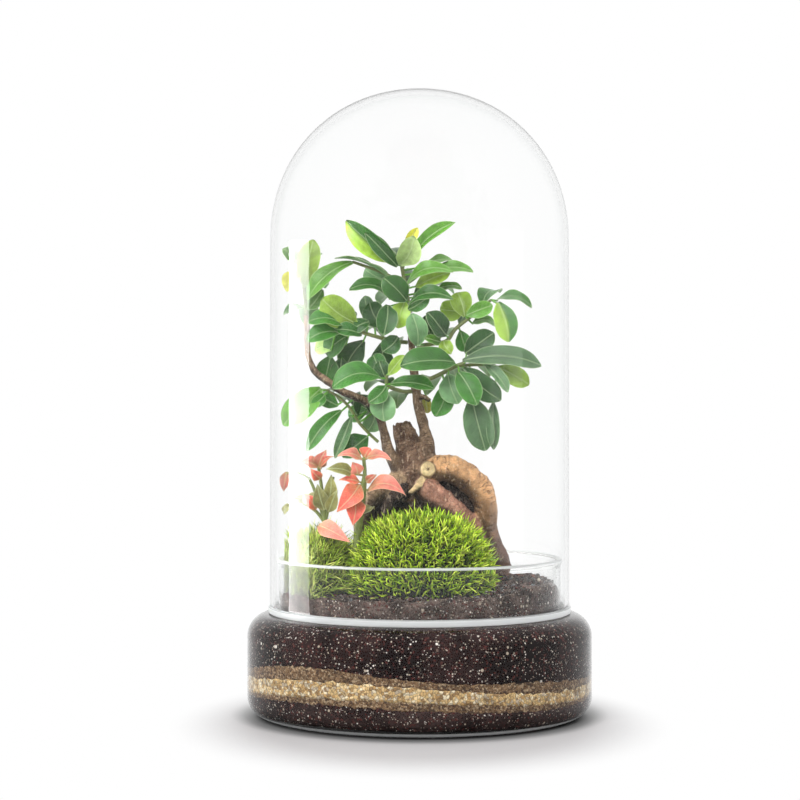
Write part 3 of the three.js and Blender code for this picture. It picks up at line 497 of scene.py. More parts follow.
def sand_material(name, grain, tones):
    """Loose grains: each cell takes one of the tones, with painted shade in the gaps between"""
    paint = Paint(name, 0.8, 0.3)
    warped = paint.warped(grain, 0.8)
    pick = paint.channels(paint.cells(grain, place=warped))[0]
    stops = [(index / len(tones), tone) for index, tone in enumerate(tones)]
    body = paint.ramp(pick, *stops, smooth=False)
    gaps = paint.cells(grain, "Distance", "DISTANCE_TO_EDGE", warped)
    # Painted shade in the gaps between the grains
    shade = paint.ramp(gaps, (0.0, 0.45), (0.16, 1.0))
    drift = paint.ramp(paint.noise(7, 3), (0.3, 0.72), (0.7, 1.1))
    paint.drive("Base Color", paint.tinted(paint.tinted(body, shade), drift))
    paint.bump(gaps, 0.4)
    return paint.material


def moss_material():
    """Blades darker towards their foot by painted shade and brighter to the tip, partly their paler tips and
    partly a painted highlight, each with its own tint
    """
    paint = Paint("moss_blades", 0.55, 0.3)
    # Painted shade low on each blade, and partly a painted highlight at its tip
    shade = paint.ramp(paint.value("height"), (0.0, 0.03), (0.3, 0.22), (0.7, 1.0), (1.0, 1.9))
    paint.drive("Base Color", paint.tinted(paint.value("tint", "Color"), shade))
    paint.bump(paint.noise(0.5, 2), 0.05)
    return paint.material


# Distance between the bark's wrinkles, and between the side veins of a leaf and how they slant
WRINKLE_SPACING = 2.3
VEIN_SPACING = 2.6
VEIN_SLANT = 0.75


def bark_material():
    """Bark in the tints of each root and stem, with darker blotches, pale flakes, and wrinkles and cracks
    darkened by painted shade
    """
    paint = Paint("bark", 0.7, 0.45)
    tint = paint.value("tint", "Color")
    smooth = paint.value("smooth")
    blotches = paint.ramp(paint.noise(6, 5), (0.35, 0.75), (0.65, 0.0))
    # A darker copy of the tint, for blotches at random and for painted shade in the wrinkles
    mottle_and_crease_shade = paint.tinted(tint, (0.25, 0.18, 0.15))
    body = paint.mix(paint.times(blotches, paint.math("SUBTRACT", 1.25, smooth)), tint, mottle_and_crease_shade)
    flakes = paint.ramp(paint.noise(1.4, 4, paint.stretched((1.0, 1.0, 0.45))), (0.56, 0.0), (0.68, 1.0))
    body = paint.mix(paint.times(flakes, 0.6), body, paint.mix(0.6, tint, (0.85, 0.66, 0.48)))
    across = paint.times(paint.value("along"), TURN / WRINKLE_SPACING)
    wander = paint.times(paint.noise(5, 3), TURN * 3)
    contours = paint.math("SINE", paint.math("ADD", across, wander))
    wrinkles = paint.ramp(contours, (0.55, 0.0), (0.95, 1.0))
    worn = paint.ramp(paint.noise(8, 3), (0.42, 0.0), (0.6, 1.0))
    wrinkles = paint.times(wrinkles, paint.times(worn, paint.value("barked")))
    # Painted shade in the wrinkles
    body = paint.mix(paint.times(wrinkles, 0.75), body, mottle_and_crease_shade)
    cracks = paint.cells(2.4, "Distance", "DISTANCE_TO_EDGE", paint.stretched((1.0, 1.0, 2.0)))
    # Painted shade along the cracks
    lines = paint.ramp(cracks, (0.0, 0.35), (0.06, 1.0))
    depth = paint.math("SUBTRACT", 1.0, paint.times(smooth, 0.7))
    body = paint.mix(depth, body, paint.tinted(body, lines))
    paint.drive("Base Color", body)
    coarse = paint.bump(paint.noise(1.4, 6), 0.7)
    folds = paint.bump(wrinkles, -0.5, coarse)
    paint.bump(paint.ramp(cracks, (0.0, 0.0), (0.1, 1.0)), 0.2, folds)
    paint.drive("Roughness", paint.ramp(smooth, (0.0, 0.8), (1.0, 0.42)))
    return paint.material


def leaf_material(name, roughness, under, under_share, vein_share):
    """A glossy upper face and a paler underside, with a light midrib, side veins and an edge"""
    paint = Paint(name, roughness, 0.5)
    tint = paint.value("tint", "Color")
    mottle = paint.ramp(paint.noise(3.5, 3), (0.3, 0.82), (0.7, 1.15))
    body = paint.mix(paint.times(paint.value("under"), under_share), paint.tinted(tint, mottle), under)
    from_rib = paint.value("from_rib")
    slanted = paint.math("SUBTRACT", paint.value("reach"), paint.times(from_rib, VEIN_SLANT))
    wave = paint.math("SINE", paint.times(slanted, TURN / VEIN_SPACING))
    veins = paint.ramp(wave, (0.9, 0.0), (1.0, 1.0))
    body = paint.mix(paint.times(veins, vein_share), body, paint.mix(0.35, tint, (0.6, 0.75, 0.4)))
    rib = paint.ramp(from_rib, (0.12, 1.0), (0.5, 0.0))
    body = paint.mix(paint.times(rib, 0.6), body, paint.mix(0.45, tint, (0.62, 0.75, 0.42)))
    rim = paint.ramp(paint.value("to_edge"), (0.0, 1.0), (0.42, 0.0))
    body = paint.mix(paint.times(rim, 0.7), body, paint.mix(0.6, tint, (0.72, 0.8, 0.5)))
    paint.drive("Base Color", body)
    grooves = paint.math("ADD", paint.times(veins, -0.4), paint.times(rib, -1.0))
    fine = paint.bump(paint.noise(1.2, 3), 0.12)
    paint.bump(grooves, 0.14, fine)
    return paint.material


# Glass pieces

def dish_profile():
    outer, inner, foot = SHOULDER_ROUNDING, INNER_SHOULDER_ROUNDING, INNER_FOOT_ROUNDING
    lip = NECK_WALL / 2
    return [
        (0, FOOT_RECESS),
        (FOOT_RING_INNER - 1, FOOT_RECESS),
        (FOOT_RING_INNER, 0),
        *arc(DISH_RADIUS - FOOT_ROUNDING, FOOT_ROUNDING, FOOT_ROUNDING, -90, 0, 14),
        *arc(DISH_RADIUS - outer, SHOULDER_HEIGHT - outer, outer, 0, 90, 16),
        *arc(NECK_RADIUS + 2, SHOULDER_HEIGHT + 2, 2, 270, 180, 5),
        (NECK_RADIUS, NECK_HEIGHT - LIP_DROP),
        (NECK_RADIUS + 0.3, NECK_HEIGHT - 3.2),
        *arc(LIP_RADIUS - lip, NECK_HEIGHT - lip, lip, 0, 90, 6),
        *arc(NECK_INNER + lip, NECK_HEIGHT - lip, lip, 90, 180, 6),
        (NECK_INNER, SHOULDER_HEIGHT),
        *arc(NECK_INNER + 2, SHOULDER_HEIGHT - 1, 2, 180, 270, 4),
        *arc(DISH_INNER - inner, CEILING_HEIGHT - inner, inner, 90, 0, 14),
        *arc(DISH_INNER - foot, FLOOR_HEIGHT + foot, foot, 0, -90, 12),
        (0, FLOOR_HEIGHT),
    ]


def cap_points(radius, top):
    """The dome's cap from its straight wall to its top, a little squarer than an ellipse"""
    power = 2 / DOME_ROUNDNESS
    points = []
    for step in range(CAP_STEPS + 1):
        angle = math.pi / 2 * step / CAP_STEPS
        across = radius * max(math.cos(angle), 0) ** power if step < CAP_STEPS else 0
        points.append((across, DOME_STRAIGHT_TOP + (top - DOME_STRAIGHT_TOP) * math.sin(angle) ** power))
    return points


def dome_profile():
    foot = SHOULDER_HEIGHT + GAP
    inner = DOME_RADIUS - DOME_WALL
    return [
        *reversed(cap_points(inner, DOME_TOP - DOME_TOP_WALL)),
        (inner, foot + 0.6),
        (inner + 0.6, foot),
        *arc(BEAD_RADIUS - BEAD_EDGE, foot + BEAD_EDGE, BEAD_EDGE, -90, 0, 5),
        *arc(BEAD_RADIUS - BEAD_EDGE, foot + BEAD_HEIGHT - BEAD_EDGE, BEAD_EDGE, 0, 60, 4),
        (DOME_RADIUS, foot + BEAD_HEIGHT + 1),
        *cap_points(DOME_RADIUS, DOME_TOP),
    ]


# Soil and sand

def round_from(x, y):
    """The angle round the dish, 0 at the front and positive to the right"""
    return np.arctan2(x, -y)


def pale_bottom(x, y):
    turn = round_from(x, y)
    tilt = 0.5 * np.sin(turn) - 0.5 * np.cos(turn)
    waves = 2.6 * np.cos(2 * turn) - 2.2 * np.sin(2 * turn)
    return PALE_LEVEL + (tilt + waves) * np.minimum(1, np.hypot(x, y) / FULL_WAVE_RADIUS)


def pale_top(x, y):
    return pale_bottom(x, y) + PALE_DEPTH - 1.4 * np.sin(2 * round_from(x, y))


def brown_bottom(x, y):
    return pale_bottom(x, y) - LOWER_BROWN_DEPTH - 1.2 * np.cos(2 * round_from(x, y))


def brown_top(x, y):
    turn = round_from(x, y)
    return pale_top(x, y) + UPPER_BROWN_DEPTH - 1.5 * np.cos(4 * turn) - np.sin(turn)


def soil_surface(x, y):
    mound = 5 * np.exp(-(x**2 + y**2) / 42**2)
    heap = 9 * np.exp(-((x - 54) ** 2) / 19**2 - ((y + 20) ** 2) / 36**2)
    fall = 1.3 * np.maximum(0, x - 69)
    lumps = 0.7 * np.sin(0.42 * x + 1) * np.sin(0.37 * y)
    return SOIL_LEVEL + mound + heap - fall + lumps


def wall_radius(height):
    """The radius of the dish's inside at a height, below the shoulder"""
    foot = INNER_FOOT_ROUNDING
    low = np.clip(FLOOR_HEIGHT + foot - height, 0, foot)
    return DISH_INNER - foot + np.sqrt(foot**2 - low**2) + CONTACT


ROUND = around(LAYER_SEGMENTS)


def ring_on(height_at, radius, strays=0.0):
    """A ring of points on a height function, with how far each strays from it"""
    x, y = radius * np.cos(ROUND), radius * np.sin(ROUND)
    return np.stack([x, y, np.broadcast_to(height_at(x, y) + strays, x.shape)], -1)


def ring_at(radius, height):
    return ring_on(lambda x, y: height, radius)


def ragged(seed):
    """How far a boundary strays at each step round the dish"""
    ring = ring_at(90, 0.0)
    return 0.8 * rough(ring, 6, 3, seed) + 0.9 * rough(ring, 1.5, 2, seed + 5)


def floor_level(x, y):
    return FLOOR_HEIGHT - 0.05


# A boundary is a height function and how far it strays at each step round the dish
FLOOR = (floor_level, np.zeros(LAYER_SEGMENTS))
BROWN_BOTTOM, PALE_BOTTOM, PALE_TOP, BROWN_TOP = (
    (height_at, ragged(seed))
    for seed, height_at in enumerate((brown_bottom, pale_bottom, pale_top, brown_top))
)

# Radii of a boundary's rings inside the wall
INNER_RADII = (20, 40, 60, 76)


def cap_rows(height_at, strays):
    """Rings of a boundary inside the wall, carrying the edge's stray outwards"""
    return [ring_on(height_at, radius, strays * (radius / DISH_RADIUS) ** 2) for radius in INNER_RADII]


def edge_height(height_at, strays):
    return ring_on(height_at, DISH_RADIUS, strays)[:, 2]


def side_rows(low, high, steps):
    """Rings up the wall between two heights, each given at every step round the dish"""
    heights = [low + (high - low) * share for share in np.linspace(0, 1, steps + 1)]
    return [ring_at(wall_radius(height), height) for height in heights]


def layer_piece(node, low, high, material, slot):
    """One layer between two boundaries"""
    rows = [
        *cap_rows(*low),
        *side_rows(edge_height(*low), edge_height(*high), 6),
        *reversed(cap_rows(*high)),
    ]
    skin = Skin()
    ends = [(0, 0, float(height_at(0.0, 0.0))) for height_at, _ in (low, high)]
    skin.add(*closed_rows(np.array(rows), *ends))
    return skin.piece(f"layer_{node}", material, slot, node)


def ball():
    """The corners and faces of an icosahedron, in which neighbours are 2 apart before it is scaled"""
    golden = (1 + 5**0.5) / 2
    corners = [(sign, other * golden, 0) for sign in (1, -1) for other in (1, -1)]
    points = np.array([
        *corners, *[(0, x, y) for x, y, _ in corners], *[(y, 0, x) for x, y, _ in corners],
    ], float)
    faces = []
    for a, b, c in combinations(range(len(points)), 3):
        sides = [np.linalg.norm(points[p] - points[q]) for p, q in ((a, b), (b, c), (a, c))]
        if max(sides) < 2.1:
            outward = np.dot(np.cross(points[b] - points[a], points[c] - points[a]), points[a]) > 0
            faces.append((a, b, c) if outward else (a, c, b))
    return points / np.linalg.norm(points[0]), np.array(faces)


# Loose crumbs on the planted soil: their shape, their number, how far out they lie, and their tints
# with the share of each
CRUMB = ball()
CRUMBS = 5200
CRUMB_REACH = 71.5
SOIL_TINTS = (
    (0.042, 0.028, 0.024), (0.1, 0.072, 0.062), (0.12, 0.122, 0.128), (0.2, 0.065, 0.045), (0.5, 0.44, 0.37),
)
SOIL_SHARES = (0.42, 0.26, 0.22, 0.07, 0.03)

# Rings of the surface that they lie on
SURFACE_RINGS = 58


def turning(angle, first, second):
    """The matrix of a turn from one axis towards another"""
    matrix = np.eye(3)
    matrix[first, first] = matrix[second, second] = math.cos(angle)
    matrix[second, first] = math.sin(angle)
    matrix[first, second] = -matrix[second, first]
    return matrix


def crumb(skin, draw, place, size, tint):
    """An angular lump, a ball of a few faces with each corner moved"""
    points, faces = CRUMB
    stretch = size * draw.uniform(0.6, 1.2, 3) * (1, 1, 0.75)
    turn = draw.uniform(0, TURN, 2)
    moved = points * draw.uniform(0.72, 1.2, (len(points), 1)) * stretch
    skin.add(moved @ turning(turn[1], 1, 2).T @ turning(turn[0], 0, 1).T + place, faces, tint=tint)


def crumbled_ring(radius):
    """A ring on the rough surface of the planted soil"""
    ring = ring_on(soil_surface, radius)
    ring[:, 2] += 1.6 * rough(ring, 7, 4, 3.1)
    return ring


def top_soil_piece(material):
    """Soil from the sand up through the neck, with a crumbled surface and loose crumbs on it"""
    neck, under, shoulder = NECK_INNER + CONTACT, CEILING_HEIGHT + CONTACT, INNER_SHOULDER_ROUNDING
    outline = [
        *arc(DISH_INNER - shoulder, under - shoulder, shoulder + CONTACT, 0, 90, 10),
        (neck + 2, under),
        (neck, SHOULDER_HEIGHT),
    ]
    rise = crumbled_ring(neck)[:, 2] - SHOULDER_HEIGHT
    rows = [
        *cap_rows(*BROWN_TOP),
        *side_rows(edge_height(*BROWN_TOP), np.full(LAYER_SEGMENTS, under - shoulder - 0.5), 8),
        *[ring_at(radius, height) for radius, height in outline],
        *[ring_at(neck, SHOULDER_HEIGHT + rise * share) for share in np.linspace(0.2, 1, 5)],
        *[crumbled_ring(radius) for radius in np.linspace(neck - 0.8, 2, SURFACE_RINGS)],
    ]
    ends = [(0, 0, float(height_at(0.0, 0.0))) for height_at in (brown_top, soil_surface)]
    skin = Skin()
    skin.add(*closed_rows(np.array(rows), *ends), tint=SOIL_TINTS[1])
    draw = np.random.default_rng(CRUMB_SEED)
    for _ in range(CRUMBS):
        turn, reach = draw.uniform(0, TURN), CRUMB_REACH * math.sqrt(draw.uniform(0, 1))
        x, y = reach * math.cos(turn), reach * math.sin(turn)
        size = 0.45 + 1.5 * draw.uniform(0, 1) ** 2.5
        tint = np.array(SOIL_TINTS[draw.choice(len(SOIL_TINTS), p=SOIL_SHARES)]) * draw.uniform(0.6, 1.3)
        crumb(skin, draw, (x, y, float(soil_surface(x, y)) + 0.35 * size), size, tint)
    return skin.piece("soil_planted", material, "dark_soil", "soil_top")


# Moss

GOLDEN_ANGLE = math.pi * (3 - math.sqrt(5))

# Each cushion's shape, then its blades: their number, size, how far they lean at random, and tints
MOSS_MAIN = dict(
    x=0.5, y=-36, half_x=36, half_y=26, floor=63, top=111, blade=7, side=1,
    count=6600, width=0.62, length=6.0, spread=0.42, seed=11,
    tints=((0.27, 0.42, 0.012), (0.42, 0.56, 0.025), (0.6, 0.7, 0.09), (0.15, 0.28, 0.008)),
)
MOSS_LEFT = dict(
    x=-54.5, y=-20, half_x=17, half_y=29, floor=63, top=99, blade=8, side=-1,
    count=4400, width=0.58, length=8.6, spread=0.6, seed=23,
    tints=((0.28, 0.38, 0.04), (0.42, 0.5, 0.08), (0.2, 0.3, 0.03), (0.5, 0.52, 0.13), (0.34, 0.48, 0.05)),
)

# How full a cushion is at its shoulders: 1 gives an ellipsoid, less gives a boxier one
FULLNESS = 0.75
CORE_RINGS = 14
CORE_SECTORS = 48
# The core's near-black green is painted shade, seen in the gaps between the blades
CORE_SHADE_TINT = (0.03, 0.06, 0.01)

# Where the rows of a blade lie along it, and how wide they are
BLADE_ROWS = ((0.0, 0.8), (0.3, 1.0), (0.6, 0.95), (0.84, 0.6))


def kept_in_neck(points, gap):
    """Draw points in towards the axis until a gap is left to the neck's wall"""
    limit = NECK_INNER - gap
    reach = np.hypot(points[..., 0], points[..., 1])
    points[..., :2] *= np.minimum(1, limit / np.maximum(reach, 1e-6))[..., None]


def moss_core(skin, moss, rise):
    """The low rounded core that the blades stand in, dark with painted shade"""
    turn = around(CORE_SECTORS)
    rows = []
    for angle in math.pi / 2 * np.arange(CORE_RINGS + 1) / (CORE_RINGS + 1):
        across = math.cos(angle) ** FULLNESS
        rows.append(np.stack([
            moss["x"] + moss["half_x"] * across * np.cos(turn),
            moss["y"] + moss["half_y"] * across * np.sin(turn),
            np.full(CORE_SECTORS, moss["floor"] + rise * math.sin(angle) ** FULLNESS),
        ], -1))
    rows = np.array(rows)
    kept_in_neck(rows, 1.2)
    ends = [(moss["x"], moss["y"], moss["floor"]), (moss["x"], moss["y"], moss["floor"] + rise)]
    skin.add(*closed_rows(rows, *ends), tint=CORE_SHADE_TINT, height=0.15)


def moss_blade_faces():
    """Faces of one three-sided blade, with its tip and its foot"""
    last = 3 * (len(BLADE_ROWS) - 1)
    faces = []
    for row in range(0, last, 3):
        for corner in range(3):
            a, b = row + corner, row + (corner + 1) % 3
            faces.extend([(a, b, b + 3), (a, b + 3, a + 3)])
    faces.extend([(last + corner, last + (corner + 1) % 3, last + 3) for corner in range(3)])
    return np.array([*faces, (0, 2, 1)])


def moss_piece(name, node, moss, slot, material):
    """Curved blades over the core, on a sunflower spiral, leaning by a seeded draw"""
    draw = np.random.default_rng(moss["seed"])
    count = moss["count"]
    rise = moss["top"] - moss["floor"] - moss["blade"] * 0.7
    skin = Skin()
    moss_core(skin, moss, rise * 0.97)
    index = np.arange(count)
    up = 1 - 0.97 * (index + 0.5) / count
    across = np.sqrt(1 - up**2)
    turn = index * GOLDEN_ANGLE + draw.normal(0, 0.02, count)
    outward = np.stack([across * np.cos(turn), across * np.sin(turn), up], -1)
    full = np.stack([across**FULLNESS * np.cos(turn), across**FULLNESS * np.sin(turn), up**FULLNESS], -1)
    reach = (moss["half_x"] * 0.94, moss["half_y"] * 0.94, rise * 0.94)
    foot = np.array([moss["x"], moss["y"], moss["floor"]]) + full * reach
    foot += draw.normal(0, 0.5, (count, 3))
    normal = unit(outward / (moss["half_x"], moss["half_y"], rise))
    direction = unit(normal + (draw.normal(0, moss["spread"], (count, 3)) + (0, 0, 0.28)))
    bend = draw.normal(0, 0.62, (count, 3)) + (0, 0, 0.1)
    blade = moss["length"] * draw.uniform(0.7, 1.25, count)
    side = unit(np.cross(direction, draw.normal(0, 1, (count, 3))))
    other = np.cross(direction, side)
    rows = []
    for share, half in BLADE_ROWS:
        middle = foot + direction * (blade * share)[:, None] + bend * (blade * share**2 * 0.5)[:, None]
        for corner, flat in enumerate((1.0, 0.55, 0.55)):
            angle = TURN * corner / 3
            corner_way = side * math.cos(angle) + other * math.sin(angle)
            rows.append(middle + moss["width"] * half * flat * corner_way)
    tip = foot + direction * blade[:, None] + bend * (blade * 0.5)[:, None]
    points = np.stack([*rows, tip], 1)
    seam = moss["side"] * MOSS_SEAM - 4
    points[..., 0] = moss["side"] * np.maximum(moss["side"] * points[..., 0], seam)
    kept_in_neck(points, 0.5)
    each = points.shape[1]
    faces = (moss_blade_faces()[None] + each * index[:, None, None]).reshape(-1, 3)
    heights = np.tile([share for share, _ in BLADE_ROWS for _ in range(3)] + [1.0], count)
    tints = np.array(moss["tints"])
    picked = tints[draw.integers(0, len(tints), count)] * draw.uniform(0.42, 1.5, (count, 1))
    skin.add(points.reshape(-1, 3), faces, tint=np.repeat(picked, each, 0), height=heights)
    return skin.piece(name, material, slot, node)


# Roots and stems of the fig: x, y, z, radius along each

TRUNK_STUMP = (
    (-9.5, 5, 156, 4.6), (-7.5, 4.5, 148, 6), (-4, 3, 139, 8), (-2, 2, 131, 9.4), (-2, 2, 120, 9.6),
)
STEM_RIGHT = (
    (2, 2, 130, 6), (4, 0.5, 143, 4.4), (2.4, 0, 153, 3.1), (-1, 1, 167, 2.8),
    (-2.5, 2, 180, 2.5), (-4, 2, 196, 2.2), (-4.6, 2, 207, 1.9), (-5, 2, 215, 1.6),
)
STEM_LEFT = (
    (-9, 1, 128, 5), (-13, 0, 134, 4), (-17, -1, 142, 3.1), (-19.3, -2, 152, 2.5), (-22, -3, 161, 2.4),
    (-27.5, -4.5, 166.5, 2.3), (-34, -6.5, 169.8, 2.2), (-41, -8, 172.5, 2.1), (-49, -9, 178, 2),
    (-55.5, -9, 183, 1.9), (-60, -8, 192.5, 1.8), (-60.5, -6, 206, 1.6), (-61, -4, 214, 1.4),
)
ROOT_RIGHT = (
    (4, 0, 128, 7), (9.5, -1, 131, 7), (16, -2, 131.3, 7.4), (23.5, -2, 128, 7.5), (31, -2, 121.5, 7.3),
    (35.2, -2, 114, 6.7), (36.2, -1, 105, 5.6), (37.8, 0, 97, 4.6), (41.2, 1, 89, 4.3), (44.2, 2, 81, 4.8),
    (46.8, 3, 71, 5.6), (48.5, 4, 58, 5),
)
ROOT_MIDDLE = (
    (0, -1, 124, 7), (6, -4, 118, 7), (13.5, -5, 112.5, 6.6), (22.5, -4, 105.5, 5.8), (30, -2, 98, 4.8),
    (34.5, 1, 88, 4.2), (37, 3, 76, 4.2), (38, 4, 60, 3.6),
)
ROOT_LEFT = (
    (-4, 2, 126, 8), (-13, 0, 122.5, 6.7), (-21, -2, 119.5, 6), (-27, -1, 113, 5.2), (-30.5, 1, 103, 4.6),
    (-31.5, 3, 90, 4.2), (-32, 5, 76, 4.2), (-32.5, 6, 60, 3.6),
)
ROOT_FRONT = (
    (-7, -2, 122, 4.8), (-13.5, -6, 115.5, 3.8), (-17.5, -5, 108, 3.3), (-19, -3, 97, 3.1),
    (-20, 0, 82, 3.1), (-20, 2, 60, 3),
)
ROOT_BACK_LEFT = (
    (-4, 6, 125, 7.4), (-11, 15, 117.5, 6.4), (-16.5, 21.5, 103, 5.6), (-19, 26, 87, 5.1),
    (-20, 29, 73, 4.8), (-20, 30, 58, 4.2),
)
ROOT_BACK_RIGHT = (
    (2, 6, 125, 7.4), (11, 16, 119, 6.7), (19, 23.5, 105, 6.1), (24, 28, 89, 5.3),
    (26, 31, 73, 4.8), (27, 32, 58, 4.2),
)
# The inner roots, tinted near black, are a dark mass that paints the shade behind the roots
ROOT_INNER_LEFT = (
    (-4, 8, 122, 7), (-12, 8, 116, 8), (-18, 8, 106, 7.5), (-24, 8, 94, 6.5), (-26, 8, 80, 6),
    (-26, 8, 60, 5.5),
)
ROOT_INNER_RIGHT = (
    (4, 8, 124, 7), (14, 9, 120, 8), (24, 9, 112, 8), (31, 9, 102, 7), (35, 9, 90, 6),
    (38, 8, 76, 6), (40, 8, 60, 5),
)
ROOT_MAIN = ((-2, 3, 120, 8.2), (-1, 3, 104, 6.6), (1, 4, 88, 5.7), (2, 5, 74, 5.6), (2, 5, 58, 5))
CUT_STUB = ((3.5, -1, 130.6, 4.2), (4.2, -6, 131, 4.1), (4.7, -11.5, 131.3, 4))
SMALL_STUB = ((2.5, -6, 126.5, 1.9), (-1, -9.5, 122.4, 1.7), (-5.4, -12, 118, 1.6))
KNOB_TWIG = ((-1.8, 0.8, 170.5, 1.6), (2.4, -1.6, 169.8, 1.5), (5.6, -2.6, 167.8, 1.2))

# The near-black tint is partly dark bark and partly painted shade, on the roots and fibres that fill the
# dark behind the roots
DARK_BARK_AND_SHADE = (0.05, 0.028, 0.02)
STUMP_BARK = (0.3, 0.18, 0.11)
STEM_BARK = (0.31, 0.2, 0.12)
ROOT_FOOT_BARK = (0.17, 0.09, 0.06)
GOLDEN_BARK = (0.72, 0.4, 0.19)
PINK_BARK = (0.56, 0.28, 0.19)
TAN_BARK = (0.42, 0.28, 0.16)
CUT_WOOD = (0.88, 0.68, 0.36)
PITH = (0.2, 0.12, 0.05)

# Each line with its tint, how smooth its bark is (0 to 1) and how deep its relief is in millimetres
TRUNK_LINES = (
    (TRUNK_STUMP, STUMP_BARK, 0.0, 1.3),
    (STEM_RIGHT, STEM_BARK, 0.2, 0.45),
    (STEM_LEFT, STEM_BARK, 0.3, 0.3),
    (ROOT_RIGHT, GOLDEN_BARK, 0.8, 0.7),
    (ROOT_MIDDLE, PINK_BARK, 0.5, 0.8),
    (ROOT_LEFT, TAN_BARK, 0.4, 0.6),
    (ROOT_FRONT, DARK_BARK_AND_SHADE, 0.2, 0.6),
    (ROOT_BACK_LEFT, TAN_BARK, 0.5, 0.5),
    (ROOT_BACK_RIGHT, GOLDEN_BARK, 0.7, 0.4),
    (ROOT_MAIN, DARK_BARK_AND_SHADE, 0.2, 0.6),
    (CUT_STUB, CUT_WOOD, 0.7, 0.05),
    (SMALL_STUB, CUT_WOOD, 0.6, 0.2),
    (KNOB_TWIG, STEM_BARK, 0.2, 0.3),
    (ROOT_INNER_LEFT, DARK_BARK_AND_SHADE, 0.2, 0.6),
    (ROOT_INNER_RIGHT, DARK_BARK_AND_SHADE, 0.2, 0.6),
)
REMESH_SIZE = 0.75
SOFTENINGS = 5

# Heights between which the stump's top is jagged, and the right root darkens to its foot
JAG_HEIGHTS = (151, 157)
FOOT_HEIGHTS = (108, 92)

# Dark fibres behind the roots, their darkness painted shade there
ROOTLETS = 190
ROOTLET_ROWS = 6


def trunk_mesh():
    """All the lines as tubes, melted into one closed skin by a voxel remesh"""
    skin = Skin()
    for stations, _, _, _ in TRUNK_LINES:
        line = curve_points(stations, 8 * (len(stations) - 1))
        skin.add(*tube(line[:, :3], line[:, 3], 20))
    mesh = bpy.data.meshes.new("trunk_tubes")
    faces = [tuple(face) for group in skin.faces for face in group]
    mesh.from_pydata((np.concatenate(skin.points) * MM).tolist(), [], faces)
    holder = bpy.data.objects.new("trunk_tubes", mesh)
    bpy.context.scene.collection.objects.link(holder)
    melt = holder.modifiers.new("melt", "REMESH")
    melt.mode = "VOXEL"
    melt.voxel_size = REMESH_SIZE * MM
    soften = holder.modifiers.new("soften", "SMOOTH")
    soften.iterations = SOFTENINGS
    graph = bpy.context.evaluated_depsgraph_get()
    made = bpy.data.meshes.new_from_object(holder.evaluated_get(graph))
    bpy.data.objects.remove(holder)
    return made


def nearest_line(points):
    """For each point, which trunk line it belongs to, and its distance along that line"""
    best = np.full(len(points), np.inf)
    owner = np.zeros(len(points), int)
    along = np.zeros(len(points))
    for index, (stations, _, _, _) in enumerate(TRUNK_LINES):
        line = curve_points(stations, 10 * (len(stations) - 1))
        steps = np.linalg.norm(np.diff(line[:, :3], axis=0), axis=1)
        length = np.concatenate([[0], np.cumsum(steps)])
        for place, run in zip(line, length):
            gap = np.linalg.norm(points - place[:3], axis=1) - place[3]
            closer = gap < best
            best[closer] = gap[closer]
            owner[closer] = index
            along[closer] = run
    return owner, along


def add_rootlets(skin):
    """Thin fibres that hang behind the roots, down into the soil, dark as painted shade behind them"""
    draw = np.random.default_rng(ROOTLET_SEED)
    for _ in range(ROOTLETS):
        x, y = draw.uniform(-29, 39), draw.uniform(5, 17)
        top = 118 - 0.016 * (x - 3) ** 2
        heights = np.linspace(top, SOIL_LEVEL - 2, ROOTLET_ROWS)
        stray = np.cumsum(draw.normal(0, 1.3, (ROOTLET_ROWS, 2)), axis=0)
        stations = np.column_stack([x + stray[:, 0], y + np.abs(stray[:, 1]), heights])
        line = curve_points(stations, 12)[:, :3]
        radii = np.linspace(draw.uniform(0.5, 1.1), 0.4, len(line))
        tint = np.array(DARK_BARK_AND_SHADE) * draw.uniform(0.6, 3.0)
        skin.add(*tube(line, radii, 5), tint=tint, smooth=0.2, along=0.0, barked=1.0)


def vertex_values(mesh, name):
    """The mesh's points or normals, one row each"""
    values = np.empty(len(mesh.vertices) * 3, np.float32)
    mesh.vertices.foreach_get(name, values)
    return values.reshape(-1, 3)


